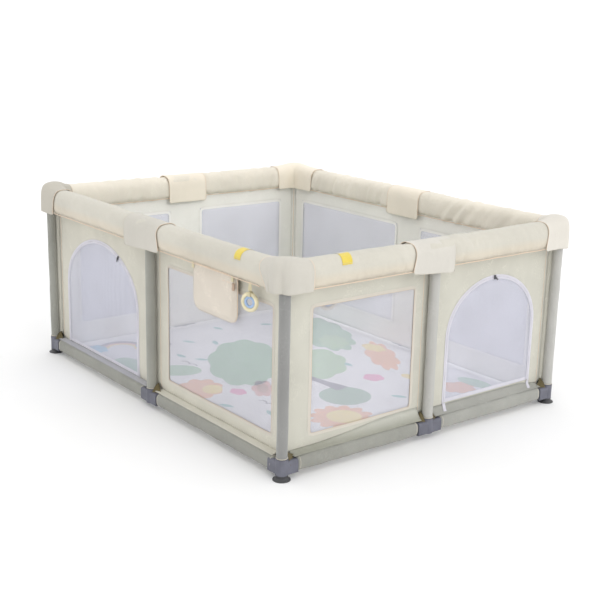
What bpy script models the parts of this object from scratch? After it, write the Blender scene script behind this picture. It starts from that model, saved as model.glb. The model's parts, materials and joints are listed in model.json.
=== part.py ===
"""Rectangular fabric playpen on eight posts, in metres, +Z up.

Two rings of steel tube, one near the floor and one under the top padding, are joined by eight
upright posts.  Fabric walls with mesh windows hang inside the posts, two of the bays have an
arched zip door, and the four corner feet stand on suction cups.  The origin is on the floor at
the middle of the footprint, and the long sides run along X.
"""
import math

import bmesh
import bpy
from mathutils import Matrix, Vector

# Driving dimensions
HALF_LENGTH = 0.72  # post axis to middle, along X
HALF_WIDTH = 0.57  # post axis to middle, along Y
HEIGHT = 0.64
GAP = 0.0003  # between pieces that touch
ROUND_SIDES = 16
CUT_BEYOND = 0.010  # how far a cutter passes the piece that it cuts
MERGE = 0.000001  # points closer than this are one
SHARP_ANGLE = math.radians(35)

# Feet and base connectors
CUP_RADIUS = 0.0265
CUP_HEIGHT = 0.0152
CUP_STEM_RADIUS = 0.004
CUP_STEM_TOP = 0.0245
CUP_SECTION = ((0.72, CUP_HEIGHT), (0.66, 0.0085), (0.80, 0.0050), (1.0, 0.0020), (1.0, 0.0),
               (0.68, 0.0), (0.40, 0.0026), (0.0, 0.0030))  # (share of the radius, height)
BASE_BOTTOM = CUP_HEIGHT + GAP
BASE_SOCKET_RADIUS = 0.0185
BASE_SOCKET_TOP = 0.064
BASE_SOCKET_FLOOR = 0.050
BASE_ARM_REACH = 0.048
BASE_ARM_HALF = 0.0155
BASE_ARM_TOP = 0.057
BASE_ARM_LIFT = 0.0004  # the arms' undersides sit above the socket's, so that no two faces share a plane
BASE_ARM_ROUND = (0.008, 0.003)  # long edges above, below

# Steel tubes
POST_RADIUS = 0.0127
POST_WALL = 0.001
POST_TOP = 0.580
SOCKET_FIT = 0.0003
LOW_TUBE_RADIUS = 0.0095
LOW_TUBE_Z = 0.038
LOW_TUBE_BEND = 0.012
TOP_TUBE_RADIUS = 0.011
TOP_TUBE_Z = 0.594
TOP_TUBE_BEND = 0.030
TUBE_WALL = 0.001
TOP_TUBE_WALL = 0.0015
BUTTON_HOLE_RADIUS = 0.003
BUTTON_HOLE_X = 0.36
TOP_SOCKET_RADIUS = 0.0155
TOP_SOCKET_BOTTOM = 0.562
TOP_SOCKET_TOP = 0.6095
TOP_SOCKET_SIDES = 12
POST_TOP_CLEARANCE = 0.001
BEND_STEPS = 4
TUBE_RESOLUTION = 2

# Padded rails
LOW_RAIL_HALF = 0.017
LOW_RAIL_TOP = 0.0625
LOW_RAIL_ROUND = 0.010
PAD_HALF = 0.038
PAD_BOTTOM = 0.552
PAD_TOP = 0.6355
PAD_ROUND_TOP = 0.030
PAD_ROUND_BOTTOM = 0.018
PAD_END = 0.040  # from the corner post's axis
ROUND_STEPS = 4
PAD_ROUND_STEPS = 5
EDGE_STEPS = 3  # of the small rounds on plan outlines and top edges

# Fabric caps over the posts
CAP_HALF = 0.042
CAP_CLOTH = 0.0035
CAP_CEILING = 0.636
CAP_ROUND = 0.022
CAP_HEM_ROUND = 0.0005
CORNER_CAP_BOTTOM = 0.550
CORNER_CAP_ARM = 0.070
CORNER_CAP_TURN = 0.026
MID_CAP_BOTTOM = 0.537
MID_CAP_SPANS = {"front": (-0.100, 0.105), "right": (-0.120, 0.042),
                 "back": (-0.085, 0.085), "left": (-0.085, 0.085)}

# Walls, measured inwards from the post axes
WALL_FACE = 0.0195
WALL_CLOTH = 0.002
WALL_BOTTOM = 0.024
WALL_TOP = PAD_BOTTOM - GAP
MESH_CLOTH = 0.001
MESH_MARGIN = 0.012
WINDOW_ROUND = 0.006
WINDOWS = {  # side: (start, end, bottom, top) along the side and up
    "front": [(0.075, 0.640, 0.108, 0.490)],
    "right": [(-0.455, -0.062, 0.106, 0.486)],
    "back": [(-0.630, -0.090, 0.108, 0.495), (0.050, 0.630, 0.108, 0.495)],
    "left": [(-0.470, -0.075, 0.108, 0.495), (0.078, 0.470, 0.108, 0.495)],
}

# Arched doors: middle, half width, spring line, rise of the arch
DOORS = {"front": (-0.378, 0.255, 0.290, 0.195), "right": (0.288, 0.200, 0.300, 0.175)}
DOOR_SILLS = {"front": 0.064, "right": 0.088}
DOOR_CROWN_ANGLE = math.radians(40)
SHOULDER_STEPS = 4
CROWN_STEPS = 12
DOOR_CLEARANCE = 0.0006
HINGE_CLEARANCE = 0.0016

# Zip sliders
SLIDER_BODY = (0.010, 0.0038, 0.013)
SLIDER_TAB = (0.007, 0.0020, 0.026)
SLIDER_PLACES = {"front": math.radians(25), "right": 0.0}  # from the top of the arch, towards +u

# Pull-up straps and rings: position along the side, twist about the vertical
PULLS = {  # side: (middle of the band, middle of the tail, the tail's inset, its twist)
    "front": (0.571, 0.572, -0.012, math.radians(20)),
    "right": (-0.386, -0.384, 0.042, math.radians(-20)),
}
STRAP_WIDTH = 0.040
STRAP_CLOTH = 0.0015
STRAP_OUTER_END = 0.612
STRAP_INNER_END = 0.548
STRAP_UNDER_END = -0.020  # inset of the end of a band that wraps under the pad
STRAP_NOTCH = 0.0015  # clearance round such a band where it crosses the wall
TAIL_WIDTH = 0.013
STITCH_HEIGHT = 0.011  # of the block that sews the tail to the band
STITCH_MARGIN = 0.001
STITCH_DEPTH = 0.004
TAIL_OVERLAP = 0.008  # how far the tail runs up into the stitching
LOOP_WIDTH = 0.014
PULL_PIVOT_Z = 0.514
LOOP_RADIUS = 0.0092
LOOP_HOLE_RADIUS = 0.0076
RING_MAJOR = 0.0235
RING_MINOR = 0.0058
RING_SEGMENTS = (24, 10)

# Storage bag, outside the front wall
BAG_SPAN = (0.252, 0.487)
BAG_DEPTH = (-0.0060, 0.0165)
BAG_HEIGHTS = (0.400, 0.5485)
BAG_ROUND = 0.030
BAG_CLOTH = 0.0025

# Floor mat
MAT_INSET = 0.030
MAT_THICKNESS = 0.012
MAT_CORNER = 0.030
MAT_EDGE_ROUND = 0.002

SIDES = {  # side: (turn about Z, half length, distance from the middle)
    "front": (0.0, HALF_LENGTH, HALF_WIDTH),
    "right": (math.pi / 2, HALF_WIDTH, HALF_LENGTH),
    "back": (math.pi, HALF_LENGTH, HALF_WIDTH),
    "left": (3 * math.pi / 2, HALF_WIDTH, HALF_LENGTH),
}
CORNERS = {  # corner: (x, y, turn that points the part's arms along both sides)
    "front_left": (-HALF_LENGTH, -HALF_WIDTH, 0.0),
    "front_right": (HALF_LENGTH, -HALF_WIDTH, math.pi / 2),
    "back_right": (HALF_LENGTH, HALF_WIDTH, math.pi),
    "back_left": (-HALF_LENGTH, HALF_WIDTH, 3 * math.pi / 2),
}

MATERIALS = {  # name: (colour, roughness, metallic)
    "cream_fabric": ((0.80, 0.76, 0.68), 0.85, 0.0),
    "wall_fabric": ((0.72, 0.71, 0.64), 0.85, 0.0),
    "rail_fabric": ((0.36, 0.36, 0.34), 0.85, 0.0),
    "mesh_fabric": ((0.66, 0.67, 0.76), 0.80, 0.0),
    "base_plastic": ((0.20, 0.20, 0.24), 0.45, 0.0),
    "cup_rubber": ((0.06, 0.06, 0.07), 0.55, 0.0),
    "steel": ((0.45, 0.45, 0.46), 0.35, 1.0),
    "yellow_webbing": ((0.85, 0.65, 0.12), 0.80, 0.0),
    "ring_plastic": ((0.88, 0.68, 0.25), 0.35, 0.0),
    "slider_metal": ((0.25, 0.25, 0.27), 0.35, 1.0),
    "bag_fabric": ((0.82, 0.74, 0.62), 0.85, 0.0),
    "mat_foam": ((0.80, 0.80, 0.84), 0.60, 0.0),
}


def clear_scene():
    for obj in list(bpy.data.objects):
        bpy.data.objects.remove(obj, do_unlink=True)


def new_collection(name):
    collection = bpy.data.collections.new(name)
    bpy.context.scene.collection.children.link(collection)
    return collection


def make_material(name):
    colour, roughness, metallic = MATERIALS[name]
    material = bpy.data.materials.new(name)
    material.use_nodes = True
    shader = material.node_tree.nodes["Principled BSDF"]
    shader.inputs["Base Color"].default_value = (*colour, 1.0)
    shader.inputs["Roughness"].default_value = roughness
    shader.inputs["Metallic"].default_value = metallic
    material.diffuse_color = (*colour, 1.0)
    return material


clear_scene()
PARTS = new_collection("playpen")
CUTTERS = new_collection("cutters")


def add_object(name, mesh, frame, material=None):
    """Link a mesh at a frame (x, y, turn); without a material it is a cutter."""
    obj = bpy.data.objects.new(name, mesh)
    obj.location = (frame[0], frame[1], 0.0)
    obj.rotation_euler = (0.0, 0.0, frame[2])
    if material:
        PARTS.objects.link(obj)
        mesh.materials.append(make_material(material))
    else:
        CUTTERS.objects.link(obj)
        obj.hide_render = True
        obj.display_type = "WIRE"
    return obj


def side_frame(side):
    """A side's own frame: local X along it, local Y inwards, origin under its middle post."""
    turn, _, distance = SIDES[side]
    return (math.sin(turn) * distance, -math.cos(turn) * distance, turn)


WORLD = (0.0, 0.0, 0.0)


def mesh_from(bm, name):
    bmesh.ops.recalc_face_normals(bm, faces=bm.faces)
    mesh = bpy.data.meshes.new(name)
    bm.to_mesh(mesh)
    bm.free()
    return mesh


def box_mesh(name, low, high):
    bm = bmesh.new()
    bmesh.ops.create_cube(bm, size=1.0)
    size = [h - l for l, h in zip(low, high)]
    middle = [(h + l) / 2 for l, h in zip(low, high)]
    bmesh.ops.scale(bm, vec=size, verts=bm.verts)
    bmesh.ops.translate(bm, vec=middle, verts=bm.verts)
    return mesh_from(bm, name)


def bar_mesh(name, span, depth, heights, top_round, bottom_round, steps=ROUND_STEPS):
    """A bar along local X whose long edges are rounded."""
    bm = bmesh.new()
    bmesh.ops.create_cube(bm, size=1.0)
    size = (span[1] - span[0], depth[1] - depth[0], heights[1] - heights[0])
    middle = (sum(span) / 2, sum(depth) / 2, sum(heights) / 2)
    bmesh.ops.scale(bm, vec=size, verts=bm.verts)
    bmesh.ops.translate(bm, vec=middle, verts=bm.verts)
    for upper, radius in ((True, top_round), (False, bottom_round)):
        edges = []
        for edge in bm.edges:
            a, b = edge.verts
            along = abs(a.co.x - b.co.x) > size[0] / 2
            if along and (a.co.z > middle[2]) == upper:
                edges.append(edge)
        bmesh.ops.bevel(bm, geom=edges, offset=radius, segments=steps, profile=0.5, affect="EDGES")
    return mesh_from(bm, name)


def cylinder_mesh(name, radius, low, high, sides=ROUND_SIDES, centre=(0.0, 0.0)):
    bm = bmesh.new()
    bmesh.ops.create_cone(bm, cap_ends=True, segments=sides, radius1=radius, radius2=radius,
                          depth=high - low)
    bmesh.ops.translate(bm, vec=(centre[0], centre[1], (high + low) / 2), verts=bm.verts)
    return mesh_from(bm, name)


def prism_mesh(name, outline, low, high, top_round):
    """An upright prism on a plan outline, with its top edge rounded."""
    bm = bmesh.new()
    base = bm.faces.new([bm.verts.new((x, y, low)) for x, y in outline])
    grown = bmesh.ops.extrude_face_region(bm, geom=[base])
    top = [v for v in grown["geom"] if isinstance(v, bmesh.types.BMVert)]
    bmesh.ops.translate(bm, vec=(0.0, 0.0, high - low), verts=top)
    rim = [e for e in bm.edges if all(v.co.z > high - GAP for v in e.verts)]
    if top_round:
        bmesh.ops.bevel(bm, geom=rim, offset=top_round, segments=EDGE_STEPS, profile=0.5, affect="EDGES")
    return mesh_from(bm, name)


def tube_mesh(name, points, radius, closed):
    """A round tube along a path, made as a curve and turned into a mesh."""
    curve = bpy.data.curves.new(name, "CURVE")
    curve.dimensions = "3D"
    curve.bevel_depth = radius
    curve.bevel_resolution = TUBE_RESOLUTION
    curve.use_fill_caps = True
    spline = curve.splines.new("POLY")
    spline.points.add(len(points) - 1)
    for point, place in zip(spline.points, points):
        point.co = (*place, 1.0)
    spline.use_cyclic_u = closed
    path = bpy.data.objects.new(name, curve)
    CUTTERS.objects.link(path)
    bpy.context.view_layer.update()
    evaluated = path.evaluated_get(bpy.context.evaluated_depsgraph_get())
    mesh = bpy.data.meshes.new_from_object(evaluated)
    bpy.data.objects.remove(path, do_unlink=True)
    bm = bmesh.new()
    bm.from_mesh(mesh)
    bmesh.ops.remove_doubles(bm, verts=bm.verts, dist=MERGE)
    bpy.data.meshes.remove(mesh)
    return mesh_from(bm, name)


def combine(obj, tool, operation):
    modifier = obj.modifiers.new(operation.lower(), "BOOLEAN")
    modifier.operation = operation
    modifier.solver = "EXACT"
    modifier.object = tool


def arc(centre, radius, start, end, steps):
    """Points on an arc, angles measured from the upright, positive towards +u."""
    points = []
    for i in range(steps + 1):
        angle = start + (end - start) * i / steps
        points.append((centre[0] + radius * math.sin(angle), centre[1] + radius * math.cos(angle)))
    return points


def ring_path(bend, height):
    """A rectangle through the post axes with rounded corners."""
    points = []
    quarter = math.pi / 2
    for sx, sy, start in ((1, 1, 0.0), (1, -1, quarter), (-1, -1, 2 * quarter), (-1, 1, 3 * quarter)):
        centre = (sx * (HALF_LENGTH - bend), sy * (HALF_WIDTH - bend))
        points += [(x, y, height) for x, y in arc(centre, bend, start, start + quarter, BEND_STEPS)]
    return points


def post_frames():
    frames = dict(CORNERS)
    for side in SIDES:
        frames[side] = side_frame(side)
    return frames


def turned(name, profile, frame, material, steps=ROUND_SIDES):
    """A piece turned about its own Z axis; the profile runs down the outside and back up."""
    mesh = bpy.data.meshes.new(name)
    edges = [(i, (i + 1) % len(profile)) for i in range(len(profile))]
    if profile[0][0] == 0.0:
        edges.pop()
    mesh.from_pydata([(r, 0.0, z) for r, z in profile], edges, [])
    obj = add_object(name, mesh, frame, material)
    screw = obj.modifiers.new("turn", "SCREW")
    screw.axis = "Z"
    screw.steps = steps
    screw.render_steps = steps
    screw.use_merge_vertices = True
    screw.merge_threshold = MERGE
    screw.use_smooth_shade = True
    return obj


def make_suction_cups():
    profile = [(0.0, CUP_STEM_TOP), (CUP_STEM_RADIUS, CUP_STEM_TOP), (CUP_STEM_RADIUS, CUP_HEIGHT)]
    profile += [(share * CUP_RADIUS, height) for share, height in CUP_SECTION]
    for name, frame in CORNERS.items():
        turned(f"suction_cup_{name}", profile, frame, "cup_rubber")


def low_tunnel():
    path = ring_path(LOW_TUBE_BEND, LOW_TUBE_Z)
    mesh = tube_mesh("low_tunnel", path, LOW_TUBE_RADIUS + GAP, True)
    return add_object("low_tunnel", mesh, WORLD)


def make_base_connectors(tunnel):
    """A post socket with an arm along each side it joins, bored for the post and the low tube."""
    for name, frame in post_frames().items():
        corner = name in CORNERS
        mesh = cylinder_mesh(name, BASE_SOCKET_RADIUS, BASE_BOTTOM, BASE_SOCKET_TOP)
        obj = add_object(f"base_connector_{name}", mesh, frame, "base_plastic")
        span = (0.0, BASE_ARM_REACH) if corner else (-BASE_ARM_REACH, BASE_ARM_REACH)
        width = (-BASE_ARM_HALF, BASE_ARM_HALF)
        heights = (BASE_BOTTOM + BASE_ARM_LIFT, BASE_ARM_TOP)
        arm = bar_mesh("arm", span, width, heights, *BASE_ARM_ROUND)
        combine(obj, add_object(f"arm_{name}", arm, frame), "UNION")
        if corner:
            arm = bar_mesh("arm", (-BASE_ARM_REACH, 0.0), width, heights, *BASE_ARM_ROUND)
            crossing = (frame[0], frame[1], frame[2] - math.pi / 2)
            combine(obj, add_object(f"cross_arm_{name}", arm, crossing), "UNION")
            hole = cylinder_mesh("stem_hole", CUP_STEM_RADIUS + GAP, 0.0, CUP_STEM_TOP + GAP)
            combine(obj, add_object(f"stem_hole_{name}", hole, frame), "DIFFERENCE")
        socket = cylinder_mesh("socket", POST_RADIUS + SOCKET_FIT, BASE_SOCKET_FLOOR,
                               BASE_SOCKET_TOP + CUT_BEYOND)
        combine(obj, add_object(f"socket_{name}", socket, frame), "DIFFERENCE")
        combine(obj, tunnel, "DIFFERENCE")


def make_posts():
    bottom = BASE_SOCKET_FLOOR + GAP
    bore = POST_RADIUS - POST_WALL
    profile = [(POST_RADIUS, POST_TOP), (POST_RADIUS, bottom), (bore, bottom), (bore, POST_TOP)]
    for name, frame in post_frames().items():
        turned(f"post_{name}", profile, frame, "steel")


def make_tube_ring(name, bend, height, radius):
    """A ring of tube, still solid."""
    path = ring_path(bend, height)
    return add_object(name, tube_mesh(name, path, radius, True), WORLD, "steel")


def hollow_ring(ring, bend, height, radius, wall):
    """Bore the ring's tube, and open the hollow through a spring-button hole in its underside."""
    bore = tube_mesh("bore", ring_path(bend, height), radius - wall, True)
    combine(ring, add_object(f"{ring.name}_bore", bore, WORLD), "DIFFERENCE")
    hole = cylinder_mesh("button_hole", BUTTON_HOLE_RADIUS, height - 2 * radius, height, ROUND_SIDES // 2)
    place = (BUTTON_HOLE_X, -HALF_WIDTH, 0.0)
    combine(ring, add_object(f"{ring.name}_button_hole", hole, place), "DIFFERENCE")


def make_frames():
    low = make_tube_ring("bottom_tube_frame", LOW_TUBE_BEND, LOW_TUBE_Z, LOW_TUBE_RADIUS)
    hollow_ring(low, LOW_TUBE_BEND, LOW_TUBE_Z, LOW_TUBE_RADIUS, TUBE_WALL)
    top = make_tube_ring("top_tube_frame", TOP_TUBE_BEND, TOP_TUBE_Z, TOP_TUBE_RADIUS)
    for place, frame in post_frames().items():
        socket = cylinder_mesh("socket", TOP_SOCKET_RADIUS, TOP_SOCKET_BOTTOM, TOP_SOCKET_TOP,
                               TOP_SOCKET_SIDES)
        combine(top, add_object(f"top_socket_{place}", socket, frame), "UNION")
    for place, frame in post_frames().items():
        hole = cylinder_mesh("hole", POST_RADIUS + SOCKET_FIT, TOP_SOCKET_BOTTOM - CUT_BEYOND,
                             POST_TOP + POST_TOP_CLEARANCE)
        combine(top, add_object(f"top_socket_hole_{place}", hole, frame), "DIFFERENCE")
    hollow_ring(top, TOP_TUBE_BEND, TOP_TUBE_Z, TOP_TUBE_RADIUS, TOP_TUBE_WALL)


def make_bottom_rails(tunnel):
    clear = BASE_ARM_REACH + GAP
    depth = (-LOW_RAIL_HALF, LOW_RAIL_HALF)
    heights = (BASE_BOTTOM, LOW_RAIL_TOP)
    for side, (_, half, _) in SIDES.items():
        for number, span in enumerate(((clear - half, -clear), (clear, half - clear)), start=1):
            name = f"bottom_rail_{side}_{number}"
            mesh = bar_mesh(name, span, depth, heights, LOW_RAIL_ROUND, LOW_RAIL_ROUND)
            rail = add_object(name, mesh, side_frame(side), "rail_fabric")
            combine(rail, tunnel, "DIFFERENCE")


def make_top_pads():
    path = ring_path(TOP_TUBE_BEND, TOP_TUBE_Z)
    tunnel_mesh = tube_mesh("top_tunnel", path, TOP_TUBE_RADIUS + GAP, True)
    tunnel = add_object("top_tunnel", tunnel_mesh, WORLD)
    for side, (_, half, _) in SIDES.items():
        name = f"top_rail_pad_{side}"
        mesh = bar_mesh(name, (PAD_END - half, half - PAD_END), (-PAD_HALF, PAD_HALF),
                        (PAD_BOTTOM, PAD_TOP), PAD_ROUND_TOP, PAD_ROUND_BOTTOM, PAD_ROUND_STEPS)
        pad = add_object(name, mesh, side_frame(side), "cream_fabric")
        hole = cylinder_mesh("post_hole", TOP_SOCKET_RADIUS + GAP, PAD_BOTTOM - CUT_BEYOND,
                             TOP_SOCKET_TOP + GAP)
        combine(pad, add_object(f"post_hole_{side}", hole, side_frame(side)), "DIFFERENCE")
        combine(pad, tunnel, "DIFFERENCE")


def corner_outline(half, arm, turn):
    """Plan of an L whose arms run along +X and +Y from a rounded outer corner."""
    outer = arc((turn - half, turn - half), turn, math.pi, 1.5 * math.pi, EDGE_STEPS)
    return outer + [(-half, arm), (half, arm), (half, half), (arm, half), (arm, -half)]


def make_corner_caps():
    inside = CAP_HALF - CAP_CLOTH
    for name, frame in CORNERS.items():
        outline = corner_outline(CAP_HALF, CORNER_CAP_ARM, CORNER_CAP_TURN)
        mesh = prism_mesh(name, outline, CORNER_CAP_BOTTOM, HEIGHT, CAP_ROUND)
        cap = add_object(f"post_cap_{name}", mesh, frame, "cream_fabric")
        outline = corner_outline(inside, CORNER_CAP_ARM + CUT_BEYOND, CORNER_CAP_TURN - CAP_CLOTH)
        mesh = prism_mesh("hollow", outline, CORNER_CAP_BOTTOM - CUT_BEYOND, CAP_CEILING,
                          CAP_ROUND - CAP_CLOTH)
        combine(cap, add_object(f"cap_hollow_{name}", mesh, frame), "DIFFERENCE")


def make_mid_caps():
    inside = CAP_HALF - CAP_CLOTH
    for side, span in MID_CAP_SPANS.items():
        frame = side_frame(side)
        mesh = bar_mesh(side, span, (-CAP_HALF, CAP_HALF), (MID_CAP_BOTTOM, HEIGHT), CAP_ROUND,
                        CAP_HEM_ROUND)
        cap = add_object(f"post_cap_{side}", mesh, frame, "cream_fabric")
        beyond = (span[0] - CUT_BEYOND, span[1] + CUT_BEYOND)
        mesh = bar_mesh("hollow", beyond, (-inside, inside), (MID_CAP_BOTTOM - CUT_BEYOND, CAP_CEILING),
                        CAP_ROUND - CAP_CLOTH, CAP_HEM_ROUND)
        combine(cap, add_object(f"cap_hollow_{side}", mesh, frame), "DIFFERENCE")


def rectangle(u0, u1, z0, z1, radius=0.0):
    if not radius:
        return [(u0, z0), (u1, z0), (u1, z1), (u0, z1)]
    quarter = math.pi / 2
    corners = ((u1 - radius, z1 - radius, 0), (u1 - radius, z0 + radius, 1),
               (u0 + radius, z0 + radius, 2), (u0 + radius, z1 - radius, 3))
    points = []
    for u, z, turn in corners:
        points += arc((u, z), radius, turn * quarter, (turn + 1) * quarter, EDGE_STEPS)
    return points


def crown_circle(half, spring, rise):
    """Radii of a three-centred arch: (crown radius, crown centre height, shoulder radius)."""
    c, s = math.cos(DOOR_CROWN_ANGLE), math.sin(DOOR_CROWN_ANGLE)
    difference = (half - rise) / (c + s - 1.0)
    crown = rise + difference * c
    return crown, spring + rise - crown, half - difference * s


def door_outline(side, grow, sill):
    """The zip line of a door, grown outwards: straight legs under a three-centred arch."""
    middle, half, spring, rise = DOORS[side]
    crown, crown_z, shoulder = crown_circle(half, spring, rise)
    reach = half - shoulder
    quarter = math.pi / 2
    points = [(middle - half - grow, sill)]
    points += arc((middle - reach, spring), shoulder + grow, -quarter, -DOOR_CROWN_ANGLE,
                  SHOULDER_STEPS)
    points += arc((middle, crown_z), crown + grow, -DOOR_CROWN_ANGLE, DOOR_CROWN_ANGLE,
                  CROWN_STEPS)[1:-1]
    points += arc((middle + reach, spring), shoulder + grow, DOOR_CROWN_ANGLE, quarter,
                  SHOULDER_STEPS)
    points.append((middle + half + grow, sill))
    return points


def make_sheet(name, side, outlines, face, thickness, material):
    """A flat upright sheet; outlines after the first are holes; face is its outer side's inset."""
    curve = bpy.data.curves.new(name, "CURVE")
    curve.dimensions = "2D"
    curve.fill_mode = "BOTH"
    curve.extrude = thickness / 2
    for outline in outlines:
        spline = curve.splines.new("POLY")
        spline.points.add(len(outline) - 1)
        for point, (u, z) in zip(spline.points, outline):
            point.co = (u, z, 0.0, 1.0)
        spline.use_cyclic_u = True
    sheet = bpy.data.objects.new(name, curve)
    x, y, turn = side_frame(side)
    inset = face + thickness / 2
    sheet.location = (x - math.sin(turn) * inset, y + math.cos(turn) * inset, 0.0)
    sheet.rotation_euler = (math.pi / 2, 0.0, turn)
    curve.materials.append(make_material(material))
    PARTS.objects.link(sheet)
    return sheet


def wall_outline(side, reach):
    """A wall's edge, notched at the top where a pull strap crosses it."""
    outline = rectangle(-reach, reach, WALL_BOTTOM, WALL_TOP)
    if side in PULLS and wraps_under(side):
        start = PULLS[side][0] - STRAP_WIDTH / 2 - STRAP_NOTCH
        end = PULLS[side][0] + STRAP_WIDTH / 2 + STRAP_NOTCH
        floor = WALL_TOP - STRAP_CLOTH - STRAP_NOTCH
        outline[3:3] = [(end, WALL_TOP), (end, floor), (start, floor), (start, WALL_TOP)]
    return outline


def make_walls():
    for side, (_, half, _) in SIDES.items():
        reach = half - WALL_FACE
        if side in ("right", "left"):
            reach = half - WALL_FACE - WALL_CLOTH - GAP
        outlines = [wall_outline(side, reach)]
        for window in WINDOWS[side]:
            outlines.append(rectangle(*window, WINDOW_ROUND))
        if side in DOORS:
            outlines.append(door_outline(side, DOOR_CLEARANCE, DOOR_SILLS[side]))
        make_sheet(f"wall_{side}", side, outlines, WALL_FACE, WALL_CLOTH, "wall_fabric")


def make_window_meshes():
    face = WALL_FACE + WALL_CLOTH + GAP
    for side, windows in WINDOWS.items():
        outline = rectangle(min(w[0] for w in windows) - MESH_MARGIN,
                            max(w[1] for w in windows) + MESH_MARGIN,
                            min(w[2] for w in windows) - MESH_MARGIN,
                            max(w[3] for w in windows) + MESH_MARGIN)
        make_sheet(f"window_mesh_{side}", side, [outline], face, MESH_CLOTH, "mesh_fabric")


def make_doors():
    for side in DOORS:
        outline = door_outline(side, -DOOR_CLEARANCE, DOOR_SILLS[side] + HINGE_CLEARANCE)
        make_sheet(f"door_{side}", side, [outline], WALL_FACE, WALL_CLOTH, "mesh_fabric")


def make_zip_sliders():
    """A slider body with its pull tab, on the crown of each arch on the outer face."""
    face = WALL_FACE - GAP
    width, depth, height = SLIDER_BODY
    tab_width, tab_depth, tab_length = SLIDER_TAB
    for side, (middle, half, spring, rise) in DOORS.items():
        frame = side_frame(side)
        top = spring + rise
        pivot = Matrix.Translation((middle, 0.0, crown_circle(half, spring, rise)[1]))
        place = pivot @ Matrix.Rotation(SLIDER_PLACES[side], 4, "Y") @ pivot.inverted()
        body = box_mesh("slider", (middle - width / 2, face - depth, top - height / 2),
                        (middle + width / 2, face, top + height / 2))
        tab = box_mesh("tab", (middle - tab_width / 2, face - depth - tab_depth / 2, top - tab_length),
                       (middle + tab_width / 2, face - depth + tab_depth / 2, top + height / 4))
        for mesh in (body, tab):
            mesh.transform(place)
        slider = add_object(f"zip_slider_{side}", body, frame, "slider_metal")
        combine(slider, add_object(f"slider_tab_{side}", tab, frame), "UNION")


def wraps_under(side):
    """Whether a pull strap's band carries on under the pad to a tail outside the wall."""
    return PULLS[side][2] < 0.0


def make_strap_band(side, frame, span):
    """A webbing band over the top pad and down its inner face, and under it if it wraps."""
    inner, outer = GAP, GAP + STRAP_CLOTH
    low, reach = PAD_BOTTOM - 4 * CUT_BEYOND, PAD_HALF + 2 * CUT_BEYOND
    bottoms, rounds = (PAD_BOTTOM - 2 * CUT_BEYOND, low), (CAP_HEM_ROUND, CAP_HEM_ROUND)
    if wraps_under(side):
        bottoms = (PAD_BOTTOM - outer, PAD_BOTTOM - inner)
        rounds = (PAD_ROUND_BOTTOM + outer, PAD_ROUND_BOTTOM + inner)
    band = bar_mesh("band", span, (-PAD_HALF - outer, PAD_HALF + outer), (bottoms[0], PAD_TOP + outer),
                    PAD_ROUND_TOP + outer, rounds[0], PAD_ROUND_STEPS)
    strap = add_object(f"pull_strap_{side}", band, frame, "yellow_webbing")
    beyond = (span[0] - CUT_BEYOND, span[1] + CUT_BEYOND)
    cuts = [bar_mesh("hollow", beyond, (-PAD_HALF - inner, PAD_HALF + inner),
                     (bottoms[1], PAD_TOP + inner), PAD_ROUND_TOP + inner, rounds[1], PAD_ROUND_STEPS)]
    outer_stop = STRAP_UNDER_END if wraps_under(side) else 0.0
    cuts.append(box_mesh("outer_cut", (beyond[0], -reach, low), (beyond[1], outer_stop, STRAP_OUTER_END)))
    if not wraps_under(side):
        cuts.append(box_mesh("inner_cut", (beyond[0], 0.0, low), (beyond[1], reach, STRAP_INNER_END)))
    for number, mesh in enumerate(cuts):
        combine(strap, add_object(f"strap_cut_{side}_{number}", mesh, frame), "DIFFERENCE")
    return strap


def add_strap_tail(side, strap, middle, inset, frame, tail_frame):
    """Sew a narrow tail to the band's end, with a loop for the ring at its foot."""
    half = TAIL_WIDTH / 2 + STITCH_MARGIN
    bottom = STRAP_INNER_END + STITCH_MARGIN
    low, high = (PAD_HALF + 2 * GAP, bottom), (inset + STITCH_DEPTH, bottom + STITCH_HEIGHT)
    head = STRAP_INNER_END + TAIL_OVERLAP
    if wraps_under(side):
        head = PAD_BOTTOM - 2 * GAP
        low, high = (inset - STITCH_DEPTH, head - STITCH_DEPTH), (inset + STITCH_DEPTH, head)
    stitch = box_mesh("stitch", (middle - half, *low), (middle + half, *high))
    combine(strap, add_object(f"stitch_{side}", stitch, frame), "UNION")
    foot = PULL_PIVOT_Z + (LOOP_RADIUS + LOOP_HOLE_RADIUS) / 2
    tail = box_mesh("tail", (-TAIL_WIDTH / 2, -STRAP_CLOTH / 2, foot),
                    (TAIL_WIDTH / 2, STRAP_CLOTH / 2, head))
    combine(strap, add_object(f"tail_{side}", tail, tail_frame), "UNION")
    for name, radius, width, operation in (("loop", LOOP_RADIUS, LOOP_WIDTH, "UNION"),
                                           ("loop_hole", LOOP_HOLE_RADIUS, 2 * LOOP_WIDTH, "DIFFERENCE")):
        mesh = cylinder_mesh(name, radius, -width / 2, width / 2)
        mesh.transform(Matrix.Rotation(math.pi / 2, 4, "Y"))
        tool = add_object(f"{name}_{side}", mesh, tail_frame)
        tool.location.z = PULL_PIVOT_Z
        combine(strap, tool, operation)


def make_pull_straps():
    for side, (middle, tail_middle, inset, twist) in PULLS.items():
        frame = side_frame(side)
        strap = make_strap_band(side, frame, (middle - STRAP_WIDTH / 2, middle + STRAP_WIDTH / 2))
        place = Matrix.Rotation(frame[2], 4, "Z") @ Vector((tail_middle, inset, 0.0))
        tail_frame = (frame[0] + place.x, frame[1] + place.y, frame[2] + twist)
        add_strap_tail(side, strap, tail_middle, inset, frame, tail_frame)
        make_pull_ring(side, tail_frame)


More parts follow.
